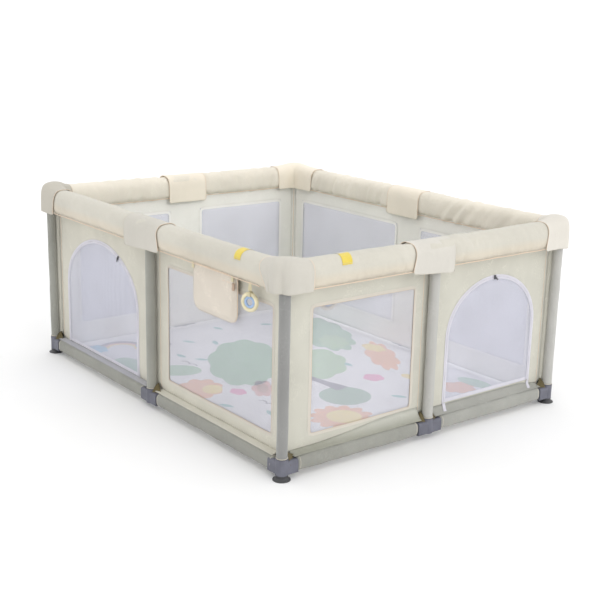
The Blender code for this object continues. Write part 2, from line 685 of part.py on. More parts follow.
def make_pull_ring(side, frame):
    """A round ring hanging in the strap's loop, its origin on the swing axis."""
    bpy.ops.mesh.primitive_torus_add(major_radius=RING_MAJOR, minor_radius=RING_MINOR,
                                     major_segments=RING_SEGMENTS[0], minor_segments=RING_SEGMENTS[1])
    torus = bpy.context.object
    mesh = torus.data.copy()
    bpy.data.objects.remove(torus, do_unlink=True)
    mesh.transform(Matrix.Translation((0.0, 0.0, -RING_MAJOR)) @ Matrix.Rotation(math.pi / 2, 4, "X"))
    ring = add_object(f"pull_ring_{side}", mesh, frame, "ring_plastic")
    ring.location.z = PULL_PIVOT_Z


def make_storage_bag():
    """A flat open-topped pouch with rounded bottom corners."""
    def pouch(name, span, depth, heights, radius):
        outline = rectangle(span[0], span[1], heights[0], heights[1] + radius, radius)
        bm = bmesh.new()
        face = bm.faces.new([bm.verts.new((u, depth[0], min(z, heights[1]))) for u, z in outline])
        grown = bmesh.ops.extrude_face_region(bm, geom=[face])
        moved = [v for v in grown["geom"] if isinstance(v, bmesh.types.BMVert)]
        bmesh.ops.translate(bm, vec=(0.0, depth[1] - depth[0], 0.0), verts=moved)
        bmesh.ops.remove_doubles(bm, verts=bm.verts, dist=MERGE)
        return mesh_from(bm, name)

    frame = side_frame("front")
    bag = add_object("storage_bag", pouch("bag", BAG_SPAN, BAG_DEPTH, BAG_HEIGHTS, BAG_ROUND),
                     frame, "bag_fabric")
    cloth = BAG_CLOTH
    hollow = pouch("hollow", (BAG_SPAN[0] + cloth, BAG_SPAN[1] - cloth),
                   (BAG_DEPTH[0] + cloth, BAG_DEPTH[1] - cloth),
                   (BAG_HEIGHTS[0] + cloth, BAG_HEIGHTS[1] + CUT_BEYOND), BAG_ROUND - cloth)
    combine(bag, add_object("bag_hollow", hollow, frame), "DIFFERENCE")


def make_mat():
    half_x, half_y = HALF_LENGTH - MAT_INSET, HALF_WIDTH - MAT_INSET
    outline = rectangle(-half_x, half_x, -half_y, half_y, MAT_CORNER)
    mesh = prism_mesh("play_mat", outline, 0.0, MAT_THICKNESS, MAT_EDGE_ROUND)
    add_object("play_mat", mesh, WORLD, "mat_foam")


def smooth_round_pieces():
    for obj in PARTS.objects:
        if obj.type == "MESH" and obj.data.polygons:
            obj.data.shade_smooth()
            obj.data.set_sharp_from_angle(angle=SHARP_ANGLE)


def main():
    tunnel = low_tunnel()
    make_suction_cups()
    make_base_connectors(tunnel)
    make_posts()
    make_frames()
    make_bottom_rails(tunnel)
    make_top_pads()
    make_corner_caps()
    make_mid_caps()
    make_walls()
    make_window_meshes()
    make_doors()
    make_zip_sliders()
    make_pull_straps()
    make_storage_bag()
    make_mat()
    smooth_round_pieces()


main()
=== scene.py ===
"""Looks of the fabric playpen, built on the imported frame, in metres, +Z up.

Every side has its own frame: u runs along the side, w inwards from the post axes, z up.
"""
import json
import math

import bpy
import numpy as np
from mathutils import Matrix, Vector, noise
from mathutils.geometry import delaunay_2d_cdt

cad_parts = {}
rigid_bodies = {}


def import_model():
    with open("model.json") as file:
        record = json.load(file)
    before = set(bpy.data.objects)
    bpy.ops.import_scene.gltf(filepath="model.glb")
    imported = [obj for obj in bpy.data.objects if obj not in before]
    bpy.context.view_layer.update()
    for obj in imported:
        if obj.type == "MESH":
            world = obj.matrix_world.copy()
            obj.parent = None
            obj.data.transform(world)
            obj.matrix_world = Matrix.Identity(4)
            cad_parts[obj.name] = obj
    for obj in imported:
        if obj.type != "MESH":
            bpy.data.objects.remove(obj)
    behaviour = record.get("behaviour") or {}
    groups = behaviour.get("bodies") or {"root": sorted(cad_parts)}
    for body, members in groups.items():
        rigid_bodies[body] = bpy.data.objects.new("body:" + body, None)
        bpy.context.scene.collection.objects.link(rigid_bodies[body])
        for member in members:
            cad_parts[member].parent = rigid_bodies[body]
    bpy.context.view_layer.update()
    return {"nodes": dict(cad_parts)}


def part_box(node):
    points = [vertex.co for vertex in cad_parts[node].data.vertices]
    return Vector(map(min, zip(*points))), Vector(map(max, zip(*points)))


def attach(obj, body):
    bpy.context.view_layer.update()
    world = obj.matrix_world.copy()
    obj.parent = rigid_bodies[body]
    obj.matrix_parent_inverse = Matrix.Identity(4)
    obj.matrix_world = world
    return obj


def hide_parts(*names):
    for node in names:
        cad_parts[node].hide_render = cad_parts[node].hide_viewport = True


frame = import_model()
QUARTER = math.pi / 2

# ---------------------------------------------------------------- camera
CAMERA_PLACE = (3.0135, -2.3186, 1.298)
CAMERA_HEADING = math.radians(141.87)  # from +X towards +Y
CAMERA_DIP = math.radians(14.93)
CAMERA_ROLL = math.radians(1.35)
CAMERA_LENS = 65.9


def make_camera():
    """The view, turned by its heading, dip and roll."""
    forward = Vector((math.cos(CAMERA_HEADING) * math.cos(CAMERA_DIP),
                      math.sin(CAMERA_HEADING) * math.cos(CAMERA_DIP), -math.sin(CAMERA_DIP)))
    right = forward.cross(Vector((0.0, 0.0, 1.0))).normalized()
    up = right.cross(forward)
    c, s = math.cos(CAMERA_ROLL), math.sin(CAMERA_ROLL)
    turned_right, turned_up = right * c + up * s, up * c - right * s
    data = bpy.data.cameras.new("camera")
    data.lens = CAMERA_LENS
    data.clip_end = 50.0
    camera = bpy.data.objects.new("camera", data)
    bpy.context.scene.collection.objects.link(camera)
    rotation = Matrix((turned_right, turned_up, -forward)).transposed().to_4x4()
    camera.matrix_world = Matrix.Translation(CAMERA_PLACE) @ rotation
    bpy.context.scene.camera = camera


make_camera()

# ---------------------------------------------------------------- sizes read from the frame
CORNER_TURNS = {"front_left": 0.0, "front_right": QUARTER, "back_right": 2 * QUARTER,
                "back_left": 3 * QUARTER}


def middle(node):
    """The middle of a node's box."""
    low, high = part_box(node)
    return (low + high) / 2


HALF_X = middle("post_front_right").x
HALF_Y = -middle("post_front_right").y
SIDES = {  # side: (turn about Z, half length, distance from the middle)
    "front": (0.0, HALF_X, HALF_Y),
    "right": (QUARTER, HALF_Y, HALF_X),
    "back": (2 * QUARTER, HALF_X, HALF_Y),
    "left": (3 * QUARTER, HALF_Y, HALF_X),
}
CAP_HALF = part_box("post_cap_front")[1].y + HALF_Y
PAD_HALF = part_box("top_rail_pad_front")[1].y + HALF_Y
PAD_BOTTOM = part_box("top_rail_pad_front")[0].z
PAD_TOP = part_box("top_rail_pad_front")[1].z
CORNER_CAP_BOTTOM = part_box("post_cap_front_right")[0].z
CORNER_CAP_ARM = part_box("post_cap_front_left")[1].x + HALF_X
MID_CAP_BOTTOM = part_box("post_cap_front")[0].z
SOCKET_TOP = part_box("base_connector_front")[1].z
RAIL_LOW, RAIL_HIGH = (corner.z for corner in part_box("bottom_rail_front_1"))
RAIL_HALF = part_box("bottom_rail_front_1")[1].y + HALF_Y
WALL_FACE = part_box("wall_front")[0].y + HALF_Y
WALL_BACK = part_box("wall_front")[1].y + HALF_Y
WALL_MIDDLE = (WALL_FACE + WALL_BACK) / 2
WALL_BOTTOM, WALL_TOP = (corner.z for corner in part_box("wall_front"))
MAT_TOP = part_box("play_mat")[1].z

# Windows of each wall: (start, end, bottom, top) along the side and up
WINDOWS = {
    "front": [(0.075, 0.640, 0.108, 0.490)],
    "right": [(-0.455, -0.062, 0.106, 0.486)],
    "back": [(-0.630, -0.090, 0.108, 0.495), (0.050, 0.630, 0.108, 0.495)],
    "left": [(-0.470, -0.075, 0.108, 0.495), (0.078, 0.470, 0.108, 0.495)],
}
WINDOW_ROUND = 0.008
NET_MARGIN = 0.006  # of net hidden behind the binding round a window

# Arched doors: middle, half width, spring line, rise of the arch
DOORS = {"front": (-0.378, 0.255, 0.290, 0.195), "right": (0.288, 0.200, 0.300, 0.175)}
DOOR_SILLS = {"front": 0.064, "right": 0.088}
SLIDER_PLACES = {"front": math.radians(25), "right": 0.0}  # from the top of the arch, towards +u
DOOR_CROWN_ANGLE = math.radians(40)


def side_matrix(side):
    """From a side's own frame to the row frame."""
    turn, _, distance = SIDES[side]
    place = Matrix.Translation((math.sin(turn) * distance, -math.cos(turn) * distance, 0.0))
    return place @ Matrix.Rotation(turn, 4, "Z")


def corner_matrix(name):
    """From a corner post's own frame, its sides along +x and +y, to the row frame."""
    axis = middle(f"post_{name}")
    return Matrix.Translation((axis.x, axis.y, 0.0)) @ Matrix.Rotation(CORNER_TURNS[name], 4, "Z")


def span_of(side, node):
    """Where a node starts and ends along a side."""
    inverse = side_matrix(side).inverted()
    return sorted((inverse @ corner).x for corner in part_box(node))


# ---------------------------------------------------------------- small maths
def smooth(a, b, x):
    """0 up to a, 1 from b, and a smooth rise between."""
    t = min(max((x - a) / (b - a), 0.0), 1.0)
    return t * t * (3.0 - 2.0 * t)


def wobble(x, y, z=0.0):
    """Smooth noise from about -1 to 1; one cell is 1 wide."""
    return noise.noise(Vector((x, y, z)))


def circle(count):
    """The cosines and sines of count angles round a full turn."""
    return [(math.cos(2 * math.pi * i / count), math.sin(2 * math.pi * i / count)) for i in range(count)]


def boxed(value, power):
    """A sine or cosine squared off: powers below 1 turn the circle towards a box."""
    return math.copysign(abs(value) ** power, value)


def arc(centre, radius, start, end, steps):
    """Points on an arc, angles measured from the upright, positive towards +u."""
    points = []
    for i in range(steps + 1):
        angle = start + (end - start) * i / steps
        points.append((centre[0] + radius * math.sin(angle), centre[1] + radius * math.cos(angle)))
    return points


def rectangle(u0, u1, z0, z1, radius=0.0):
    """An outline with sharp corners, or rounded ones."""
    if not radius:
        return [(u0, z0), (u1, z0), (u1, z1), (u0, z1)]
    corners = ((u1 - radius, z1 - radius, 0), (u1 - radius, z0 + radius, 1),
               (u0 + radius, z0 + radius, 2), (u0 + radius, z1 - radius, 3))
    points = []
    for u, z, turn in corners:
        points += arc((u, z), radius, turn * QUARTER, (turn + 1) * QUARTER, 4)
    return points


def crown_circle(side):
    """Of a three-centred arch: (crown radius, height of its centre, shoulder radius)."""
    _, half, spring, rise = DOORS[side]
    c, s = math.cos(DOOR_CROWN_ANGLE), math.sin(DOOR_CROWN_ANGLE)
    difference = (half - rise) / (c + s - 1.0)
    crown = rise + difference * c
    return crown, spring + rise - crown, half - difference * s


def arch(side, grow, sill):
    """A door's zip line grown outwards: straight legs under a three-centred arch."""
    centre, half, spring, _ = DOORS[side]
    crown, crown_z, shoulder = crown_circle(side)
    reach = half - shoulder
    left, right = centre - half - grow, centre + half + grow
    points = [(left, sill + (spring - sill) * i / 10) for i in range(10)]
    points += arc((centre - reach, spring), shoulder + grow, -QUARTER, -DOOR_CROWN_ANGLE, 10)
    points += arc((centre, crown_z), crown + grow, -DOOR_CROWN_ANGLE, DOOR_CROWN_ANGLE, 30)[1:-1]
    points += arc((centre + reach, spring), shoulder + grow, DOOR_CROWN_ANGLE, QUARTER, 10)
    points += [(right, spring + (sill - spring) * i / 10) for i in range(1, 11)]
    return points


def spread(points, pitch, closed=True):
    """The same line with points no further apart than pitch."""
    result = []
    pairs = zip(points, points[1:] + points[:1] if closed else points[1:])
    for a, b in pairs:
        steps = max(1, math.ceil(math.dist(a, b) / pitch))
        result += [tuple(p + (q - p) * i / steps for p, q in zip(a, b)) for i in range(steps)]
    if not closed:
        result.append(tuple(points[-1]))
    return result


# ---------------------------------------------------------------- mesh tools
def add(name, verts, faces, material, slot, body="pen", matrix=None, rounded=True):
    """A new piece from points and faces; matrix takes the points to the row frame."""
    points = [matrix @ Vector(v) for v in verts] if matrix else verts
    mesh = bpy.data.meshes.new(name)
    mesh.from_pydata([tuple(p) for p in points], [], faces)
    mesh.update()
    if rounded:
        mesh.shade_smooth()
    else:
        mesh.shade_flat()
    obj = bpy.data.objects.new(name, mesh)
    bpy.context.scene.collection.objects.link(obj)
    mesh.materials.append(material)
    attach(obj, body)
    return obj


def thicken(obj, thickness):
    """Give a sheet its thickness, half to each side."""
    modifier = obj.modifiers.new("thickness", "SOLIDIFY")
    modifier.thickness = thickness
    modifier.offset = 0.0
    modifier.use_even_offset = False


def soften(obj):
    """Round a piece off by dividing each face once."""
    modifier = obj.modifiers.new("smooth", "SUBSURF")
    modifier.levels = modifier.render_levels = 1


def grid_faces(rows, columns, closed_rows=False, closed_columns=False):
    """Four-sided faces over a grid of points that is stored row by row."""
    faces = []
    for i in range(rows if closed_rows else rows - 1):
        for j in range(columns if closed_columns else columns - 1):
            a, b = i * columns, ((i + 1) % rows) * columns
            k = (j + 1) % columns
            faces.append((a + j, a + k, b + k, b + j))
    return faces


def surface(rows, columns, point, closed_columns=False):
    """A grid of points from point(i, j), as (verts, faces)."""
    verts = [point(i, j) for i in range(rows) for j in range(columns)]
    return verts, grid_faces(rows, columns, closed_columns=closed_columns)


def loft(rings):
    """A closed solid through rings of equally many points, with a fan over each end."""
    count = len(rings[0])
    verts = [v for ring in rings for v in ring]
    faces = grid_faces(len(rings), count, closed_columns=True)
    for ring, start, turn in ((rings[0], 0, 1), (rings[-1], (len(rings) - 1) * count, -1)):
        verts.append(tuple(sum(c) / count for c in zip(*ring)))
        for j in range(count):
            face = (start + j, len(verts) - 1, start + (j + 1) % count)
            faces.append(face[::turn])
    return verts, faces


def tube(points, radius, sides=6, closed=False):
    """A round cord along a line of points, as (verts, faces)."""
    line = [Vector(p) for p in points]
    count = len(line)
    rings = []
    side_way = None
    for i, point in enumerate(line):
        if closed:
            way = (line[(i + 1) % count] - line[i - 1]).normalized()
        else:
            way = (line[min(i + 1, count - 1)] - line[max(i - 1, 0)]).normalized()
        if side_way is None:
            start = Vector((0.0, 0.0, 1.0)) if abs(way.z) < 0.8 else Vector((1.0, 0.0, 0.0))
            side_way = way.cross(start).normalized()
        side_way = (side_way - way * side_way.dot(way)).normalized()
        up_way = way.cross(side_way)
        rings.append([tuple(point + (side_way * c + up_way * s) * radius) for c, s in circle(sides)])
    if closed:
        verts = [v for ring in rings for v in ring]
        return verts, grid_faces(count, sides, closed_rows=True, closed_columns=True)
    return loft(rings)


def together(parts):
    """Several (verts, faces) as one."""
    verts, faces = [], []
    for more_verts, more_faces in parts:
        start = len(verts)
        verts += list(more_verts)
        faces += [tuple(start + i for i in face) for face in more_faces]
    return verts, faces


def ribbon(line_a, line_b, low, high):
    """A flat band between two lines (u, z), from depth low to depth high, as a closed solid."""
    verts = []
    for (ua, za), (ub, zb) in zip(line_a, line_b):
        verts += [(ua, low, za), (ub, low, zb), (ub, high, zb), (ua, high, za)]
    last = len(verts) - 4
    ends = [(3, 2, 1, 0), (last, last + 1, last + 2, last + 3)]
    return verts, grid_faces(len(line_a), 4, closed_columns=True) + ends


def inside(points, outline):
    """Which of the points (n, 2) lie inside a closed outline."""
    x, y = points[:, 0], points[:, 1]
    result = np.zeros(len(points), bool)
    corners = np.array(outline)
    for (xa, ya), (xb, yb) in zip(corners, np.roll(corners, -1, axis=0)):
        if ya == yb:
            continue
        crosses = (ya > y) != (yb > y)
        result ^= crosses & (x < (xb - xa) * (y - ya) / (yb - ya) + xa)
    return result


def near(points, outline, distance):
    """Which of the points lie closer than distance to a closed outline."""
    result = np.zeros(len(points), bool)
    corners = np.array(outline)
    for a, b in zip(corners, np.roll(corners, -1, axis=0)):
        along = b - a
        share = ((points - a) @ along / max(along @ along, 1e-12)).clip(0, 1)
        gap = points - a - share[:, None] * along
        result |= (gap ** 2).sum(1) < distance ** 2
    return result


CLEAR_OF_EDGES = 0.55  # of the pitch, between a cloth's edges and its inner points


def cut_cloth(outline, holes, pitch):
    """A flat cloth with holes as points (u, z) and triangles about pitch wide."""
    lines = [spread(line, pitch) for line in [outline, *holes]]
    low, high = np.min(lines[0], axis=0), np.max(lines[0], axis=0)
    row_height = pitch * math.sqrt(3) / 2
    rows = []
    for i, z in enumerate(np.arange(low[1], high[1], row_height)):
        u = np.arange(low[0] + (i % 2) * pitch / 2, high[0], pitch)
        rows.append(np.column_stack([u, np.full(len(u), z)]))
    points = np.vstack(rows)
    points = points[inside(points, lines[0])]
    for line in lines:
        points = points[~near(points, line, CLEAR_OF_EDGES * pitch)]
    for hole in lines[1:]:
        points = points[~inside(points, hole)]
    coords, edges = [], []
    for line in lines:
        start = len(coords)
        coords += line
        edges += [(start + i, start + (i + 1) % len(line)) for i in range(len(line))]
    coords += [tuple(p) for p in points]
    found = delaunay_2d_cdt([Vector(c) for c in coords], edges, [], 0, 1e-7)
    flat, triangles = np.array([tuple(v) for v in found[0]]), found[2]
    centres = np.array([flat[list(t)].mean(0) for t in triangles])
    keep = inside(centres, lines[0])
    for hole in lines[1:]:
        keep &= ~inside(centres, hole)
    return flat, [tuple(t) for t, wanted in zip(triangles, keep) if wanted]


# ---------------------------------------------------------------- materials
def tint(red, green, blue):
    """A colour as it looks on a screen, 0 to 255, as linear light."""
    def linear(value):
        share = value / 255
        return share / 12.92 if share <= 0.04045 else ((share + 0.055) / 1.055) ** 2.4
    return (linear(red), linear(green), linear(blue), 1.0)


class Nodes:
    """Builds one material's node tree."""

    def __init__(self, name, roughness, metallic=0.0, sheen=0.0):
        self.material = bpy.data.materials.new(name)
        self.material.use_nodes = True
        self.tree = self.material.node_tree
        self.shader = self.tree.nodes["Principled BSDF"]
        self.feed(self.shader, {"Roughness": roughness, "Metallic": metallic, "Sheen Weight": sheen})
        self.place = self.tree.nodes.new("ShaderNodeTexCoord").outputs["Object"]

    def feed(self, made, inputs):
        """Set a node's inputs to numbers, or link them to other nodes' outputs."""
        for key, value in inputs.items():
            if isinstance(value, bpy.types.NodeSocket):
                self.tree.links.new(value, made.inputs[key])
            else:
                made.inputs[key].default_value = value
        return made

    def node(self, kind, **inputs):
        """A new node with its named inputs set."""
        return self.feed(self.tree.nodes.new(kind), inputs)

    def set(self, name, value):
        """Set or link an input of the material's shader."""
        self.feed(self.shader, {name: value})

    def maths(self, operation, a, b=0.0):
        made = self.tree.nodes.new("ShaderNodeMath")
        made.operation = operation
        return self.feed(made, {0: a, 1: b}).outputs[0]

    def scaled(self, scale):
        """The object's own coordinates, stretched by a factor for each axis."""
        return self.node("ShaderNodeMapping", Vector=self.place, Scale=scale).outputs[0]

    def clouds(self, scale, detail=2.0, place=None):
        """Noise of about 0.5, in soft patches 1 / scale wide."""
        made = self.node("ShaderNodeTexNoise", Scale=scale, Detail=detail, Vector=place or self.place)
        return made.outputs["Fac"]

    def remap(self, value, low, high, to_low=0.0, to_high=1.0):
        """A value's range mapped on to another, and held at its ends."""
        made = self.tree.nodes.new("ShaderNodeMapRange")
        ends = {"From Min": low, "From Max": high, "To Min": to_low, "To Max": to_high}
        return self.feed(made, {"Value": value, **ends}).outputs["Result"]

    def mix(self, share, a, b, blend="MIX"):
        made = self.tree.nodes.new("ShaderNodeMix")
        made.data_type = "RGBA"
        made.blend_type = blend
        return self.feed(made, {0: share, 6: a, 7: b}).outputs[2]

    def axes(self):
        """Along-the-side and upright coordinates, which suit every wall and rail."""
        split = self.node("ShaderNodeSeparateXYZ", Vector=self.place)
        return self.maths("ADD", split.outputs[0], split.outputs[1]), split.outputs[2]

    def stripes(self, value, pitch):
        """A wave from -1 to 1 that repeats every pitch."""
        return self.maths("SINE", self.maths("MULTIPLY", value, 2 * math.pi / pitch))

    def bump(self, height, distance, strength=1.0):
        made = self.node("ShaderNodeBump", Height=height, Distance=distance, Strength=strength)
        self.set("Normal", made.outputs[0])

    def uneven(self, colour, low, high, scale, detail, contrast=0.2):
        """A colour that drifts between two shades of itself."""
        share = self.remap(self.clouds(scale, detail), 0.5 - contrast, 0.5 + contrast)
        return self.mix(share, shade(colour, low), shade(colour, high))

    def worn(self, low, high, scale, detail):
        """Roughness that drifts between two values."""
        self.set("Roughness", self.remap(self.clouds(scale, detail), 0.3, 0.7, low, high))


def shade(colour, factor):
    """A colour made lighter or darker."""
    return (*(min(1.0, c * factor) for c in colour[:3]), 1.0)


def cloth(name, colour, pitch=0.0011, wrinkle=0.0016, blotch=0.05, print_share=0.0, sheen=0.15,
          roughness=0.86, low_tint_and_painted_light=None):
    """Plain-woven polyester: thread bump, soft creases, uneven tone and a faint tonal print; a band low
    down can carry painted light and shade.
    """
    n = Nodes(name, roughness, sheen=sheen)
    along, up = n.axes()
    threads = n.maths("MULTIPLY", n.maths("ADD", n.stripes(along, pitch), n.stripes(up, pitch)), 0.5)
    creases = n.clouds(26.0, 3.0, n.scaled((1.0, 1.0, 0.55)))
    height = n.maths("ADD", n.maths("MULTIPLY", threads, 0.045), creases)
    height = n.maths("ADD", height, n.maths("MULTIPLY", n.clouds(120.0), 0.20))
    n.bump(height, wrinkle)
    tone = n.uneven(colour, 1.0 - blotch, 1.0 + blotch, 5.5, 3.0)
    yarn = n.mix(n.remap(threads, -1.0, 1.0, 0.0, 0.5), tone, shade(colour, 0.93))
    if print_share:
        yarn = n.mix(tonal_print(n, print_share), yarn, shade(colour, 1.16))
    # Below a height the colour is multiplied: painted shade darkening the laps towards the rail, painted
    # light with a peach tint on the pads' undersides.
    if low_tint_and_painted_light:
        low, high, factors = low_tint_and_painted_light
        share = n.remap(n.maths("ADD", up, n.maths("MULTIPLY", n.clouds(6.0), 0.01)), high, low)
        yarn = n.mix(share, yarn, (*factors, 1.0), "MULTIPLY")
    n.set("Base Color", yarn)
    n.worn(roughness - 0.06, min(1.0, roughness + 0.05), 60.0, 2.0)
    return n.material


def tonal_print(n, strength):
    """Where the thin bent strokes of the print are, in patches: from 0 to strength."""
    bend = n.node("ShaderNodeTexNoise", Scale=9.0, Vector=n.place)
    warped = n.feed(n.tree.nodes.new("ShaderNodeVectorMath"), {0: n.place, 1: bend.outputs["Color"]})
    strokes = n.node("ShaderNodeTexVoronoi", Scale=26.0, Vector=warped.outputs[0])
    strokes.feature = "DISTANCE_TO_EDGE"
    line = n.remap(strokes.outputs["Distance"], 0.05, 0.02)
    patches = n.remap(n.clouds(14.0, 1.0), 0.48, 0.56)
    return n.maths("MULTIPLY", n.maths("MULTIPLY", line, patches), strength)


def net(name, colour, cell, cover):
    """Open knitted net: two sets of threads with square holes between them."""
    n = Nodes(name, 0.75, sheen=0.1)
    edge = math.sin(QUARTER * (1.0 - math.sqrt(1.0 - cover)))
    waves = [n.maths("ABSOLUTE", n.stripes(axis, 2 * cell)) for axis in n.axes()]
    thread = n.maths("MINIMUM", *waves)
    n.set("Alpha", n.remap(thread, edge + 0.14, edge - 0.14))
    n.set("Base Color", n.uneven(colour, 0.95, 1.05, 7.0, 2.0))
    n.bump(thread, 0.0003)
    return n.material


def moulded(name, colour, roughness, grain=0.00012):
    """Moulded plastic or rubber with a fine spark texture and rubbed high spots."""
    n = Nodes(name, roughness)
    n.bump(n.clouds(900.0, 3.0), grain, 0.6)
    n.set("Base Color", n.uneven(colour, 0.90, 1.10, 35.0, 4.0, contrast=0.15))
    n.worn(roughness - 0.08, roughness + 0.10, 70.0, 3.0)
    return n.material


def metal(name, colour, roughness):
    """Drawn metal: fine scratches along its length and a cloudy finish."""
    n = Nodes(name, roughness, metallic=1.0)
    scratches = n.clouds(60.0, 4.0, n.scaled((9.0, 9.0, 0.7)))
    n.bump(scratches, 0.0001, 0.4)
    n.set("Base Color", n.mix(n.clouds(20.0, 3.0), shade(colour, 0.85), shade(colour, 1.1)))
    n.set("Roughness", n.remap(scratches, 0.3, 0.7, roughness - 0.08, roughness + 0.12))
    return n.material


def webbing(name, colour, pitch=0.0020):
    """Narrow woven tape: bold ribs across and a soft lustre."""
    n = Nodes(name, 0.7, sheen=0.3)
    along, up = n.axes()
    ribs = n.maths("MAXIMUM", n.stripes(along, pitch), n.stripes(up, 0.6 * pitch))
    n.bump(n.maths("ADD", n.maths("MULTIPLY", ribs, 0.5), n.clouds(90.0)), 0.0004)
    # The colour follows the ribs, darker in the grooves and lighter on the crowns: painted shade and
    # highlight.
    n.set("Base Color", n.mix(n.remap(ribs, -1.0, 1.0), shade(colour, 0.86), shade(colour, 1.04)))
    n.worn(0.6, 0.8, 50.0, 2.0)
    return n.material


def printed(name, colour, roughness=0.55):
    """Printed foam sheet: faint pebble grain and a slightly uneven ink."""
    n = Nodes(name, roughness)
    n.bump(n.clouds(420.0, 3.0), 0.0002, 0.7)
    n.set("Base Color", n.uneven(colour, 0.94, 1.05, 11.0, 3.0))
    n.worn(roughness - 0.06, roughness + 0.08, 40.0, 2.0)
    return n.material


# The pad's underside is made lighter and peachier: painted light with a peach tint.
CREAM = cloth("cream_cloth", tint(208, 204, 192), print_share=0.25, blotch=0.07, wrinkle=0.0034,
              low_tint_and_painted_light=(0.583, 0.603, (1.05, 1.0, 0.945)))
# A lighter copy of the cream for the back and left pads, whose inner faces sit in shade: painted light.
FAR_LIT_CREAM = cloth("far_lit_cream_cloth", tint(234, 227, 212), print_share=0.25, blotch=0.08, wrinkle=0.0040)
CAP_CREAM = cloth("cap_cloth", tint(212, 208, 199), blotch=0.06, wrinkle=0.0036)
# Darker and lighter copies of the cap cloth, one for each cap as the light falls on it: painted shade and
# painted light.
SHADED_CAP = cloth("shaded_cap_cloth", tint(204, 200, 190), blotch=0.07, wrinkle=0.0036)
DEEP_SHADED_CAP = cloth("deep_shaded_cap_cloth", tint(190, 185, 173), blotch=0.08, wrinkle=0.0036)
LIT_CAP = cloth("lit_cap_cloth", tint(224, 219, 209), blotch=0.06, wrinkle=0.0036)
FAR_LIT_CAP = cloth("far_lit_cap_cloth", tint(239, 230, 213), wrinkle=0.0032, blotch=0.06)
WALL = cloth("wall_cloth", tint(203, 201, 189), print_share=0.75, blotch=0.07, wrinkle=0.0030)
# A lighter copy of the wall cloth for the front: painted light.
LIT_FRONT_WALL = cloth("lit_front_wall_cloth", tint(210, 207, 194), print_share=0.75, blotch=0.07,
                   wrinkle=0.0030)
# A much lighter copy for the back and left walls, whose inner faces sit in shade: painted light.
FAR_LIT_WALL = cloth("far_lit_wall_cloth", tint(240, 238, 231), print_share=0.3)
GREY = cloth("rail_cloth", tint(157, 157, 149), blotch=0.13, wrinkle=0.0060, print_share=0.7)
SHADED = cloth("shaded_cloth", tint(194, 194, 184), blotch=0.08, wrinkle=0.0040, print_share=0.5,
               low_tint_and_painted_light=(0.068, 0.092, (0.66, 0.66, 0.62)))
# A lighter copy of the rail grey for the rail on the lit side: painted light.
LIT_RAIL_GREY = cloth("lit_rail_cloth", tint(172, 172, 165), blotch=0.12, wrinkle=0.0060,
                   print_share=0.7)
SLEEVE = cloth("sleeve_cloth", tint(151, 151, 143), blotch=0.14, wrinkle=0.0030, sheen=0.3,
               roughness=0.7, print_share=0.9)
# A darker copy of the sleeve cloth for the front corner post, with real sheen: painted shade; and a lighter
# copy for the right posts: painted light.
SHADED_SLEEVE = cloth("shaded_sleeve_cloth", tint(134, 134, 132), blotch=0.14, sheen=0.4, roughness=0.45,
                    print_share=1.0)
LIT_SLEEVE = cloth("lit_sleeve_cloth", tint(180, 179, 174), blotch=0.10, sheen=0.3, roughness=0.7,
                     print_share=0.6)
# A dark colour that stands in for the shadow by the base connectors: painted shadow.
SHADOW_CLOTH = cloth("painted_shadow_cloth", tint(98, 88, 58), blotch=0.12)
BAG = cloth("bag_cloth", tint(219, 210, 197), print_share=1.0, wrinkle=0.0028)
PEACH = webbing("peach_thread", tint(232, 210, 186), 0.0022)
IVORY = webbing("ivory_binding", tint(207, 201, 187))
BINDING_CLOTH = webbing("window_binding", tint(214, 208, 196))
# A lighter binding for the back and left windows: painted light.
FAR_LIT_BINDING = cloth("far_lit_binding", tint(246, 244, 239), 0.0016)
NET = net("net", tint(208, 208, 218), 0.0026, 0.50)
DOOR_NET = net("door_net", tint(206, 207, 221), 0.0031, 0.57)
# A lighter tint for the far nets: painted light; its finer, denser knit is the net's own.
FAR_LIT_NET = net("far_lit_net", tint(213, 213, 223), 0.0021, 0.80)
ZIP_TAPE = webbing("zip_tape", tint(220, 218, 227), 0.0018)
LILAC = cloth("lilac_cloth", tint(176, 176, 181))
ZIP_TEETH = moulded("zip_teeth", tint(216, 214, 222), 0.4)
YELLOW = webbing("yellow_webbing", tint(230, 206, 78))
PALE_YELLOW = webbing("pale_yellow_webbing", tint(222, 212, 176))
PLASTIC = moulded("base_plastic", tint(100, 101, 112), 0.48)
RUBBER = moulded("cup_rubber", tint(66, 66, 68), 0.50)
STEEL = metal("steel", tint(178, 180, 182), 0.35)
RING_YELLOW = moulded("ring_yellow", tint(228, 218, 184), 0.32, 0.00005)
RING_BLUE = moulded("ring_blue", tint(160, 184, 218), 0.32, 0.00005)
CLIP = moulded("clip_plastic", tint(176, 152, 132), 0.42)
DARK_METAL = metal("slider_metal", tint(96, 96, 100), 0.35)

# ---------------------------------------------------------------- posts, tubes, feet
SLEEVE_RADIUS = 0.0160
SLEEVE_CLOTH = 0.0009
SLEEVE_SIDES, SLEEVE_ROWS = 28, 60
SLEEVE_CREASE = 0.0009  # deepest crease
SLEEVE_GAPS = (0.0015, 0.0010)  # above the socket and below the pad
SLEEVE_HEM = 0.0013
# Posts whose sleeves take the shaded copy (front_right) and the lit copy (the right ones): painted shade
# and light.
SLEEVE_LIGHTING = {"front_right": SHADED_SLEEVE, "back_right": LIT_SLEEVE, "right": LIT_SLEEVE}


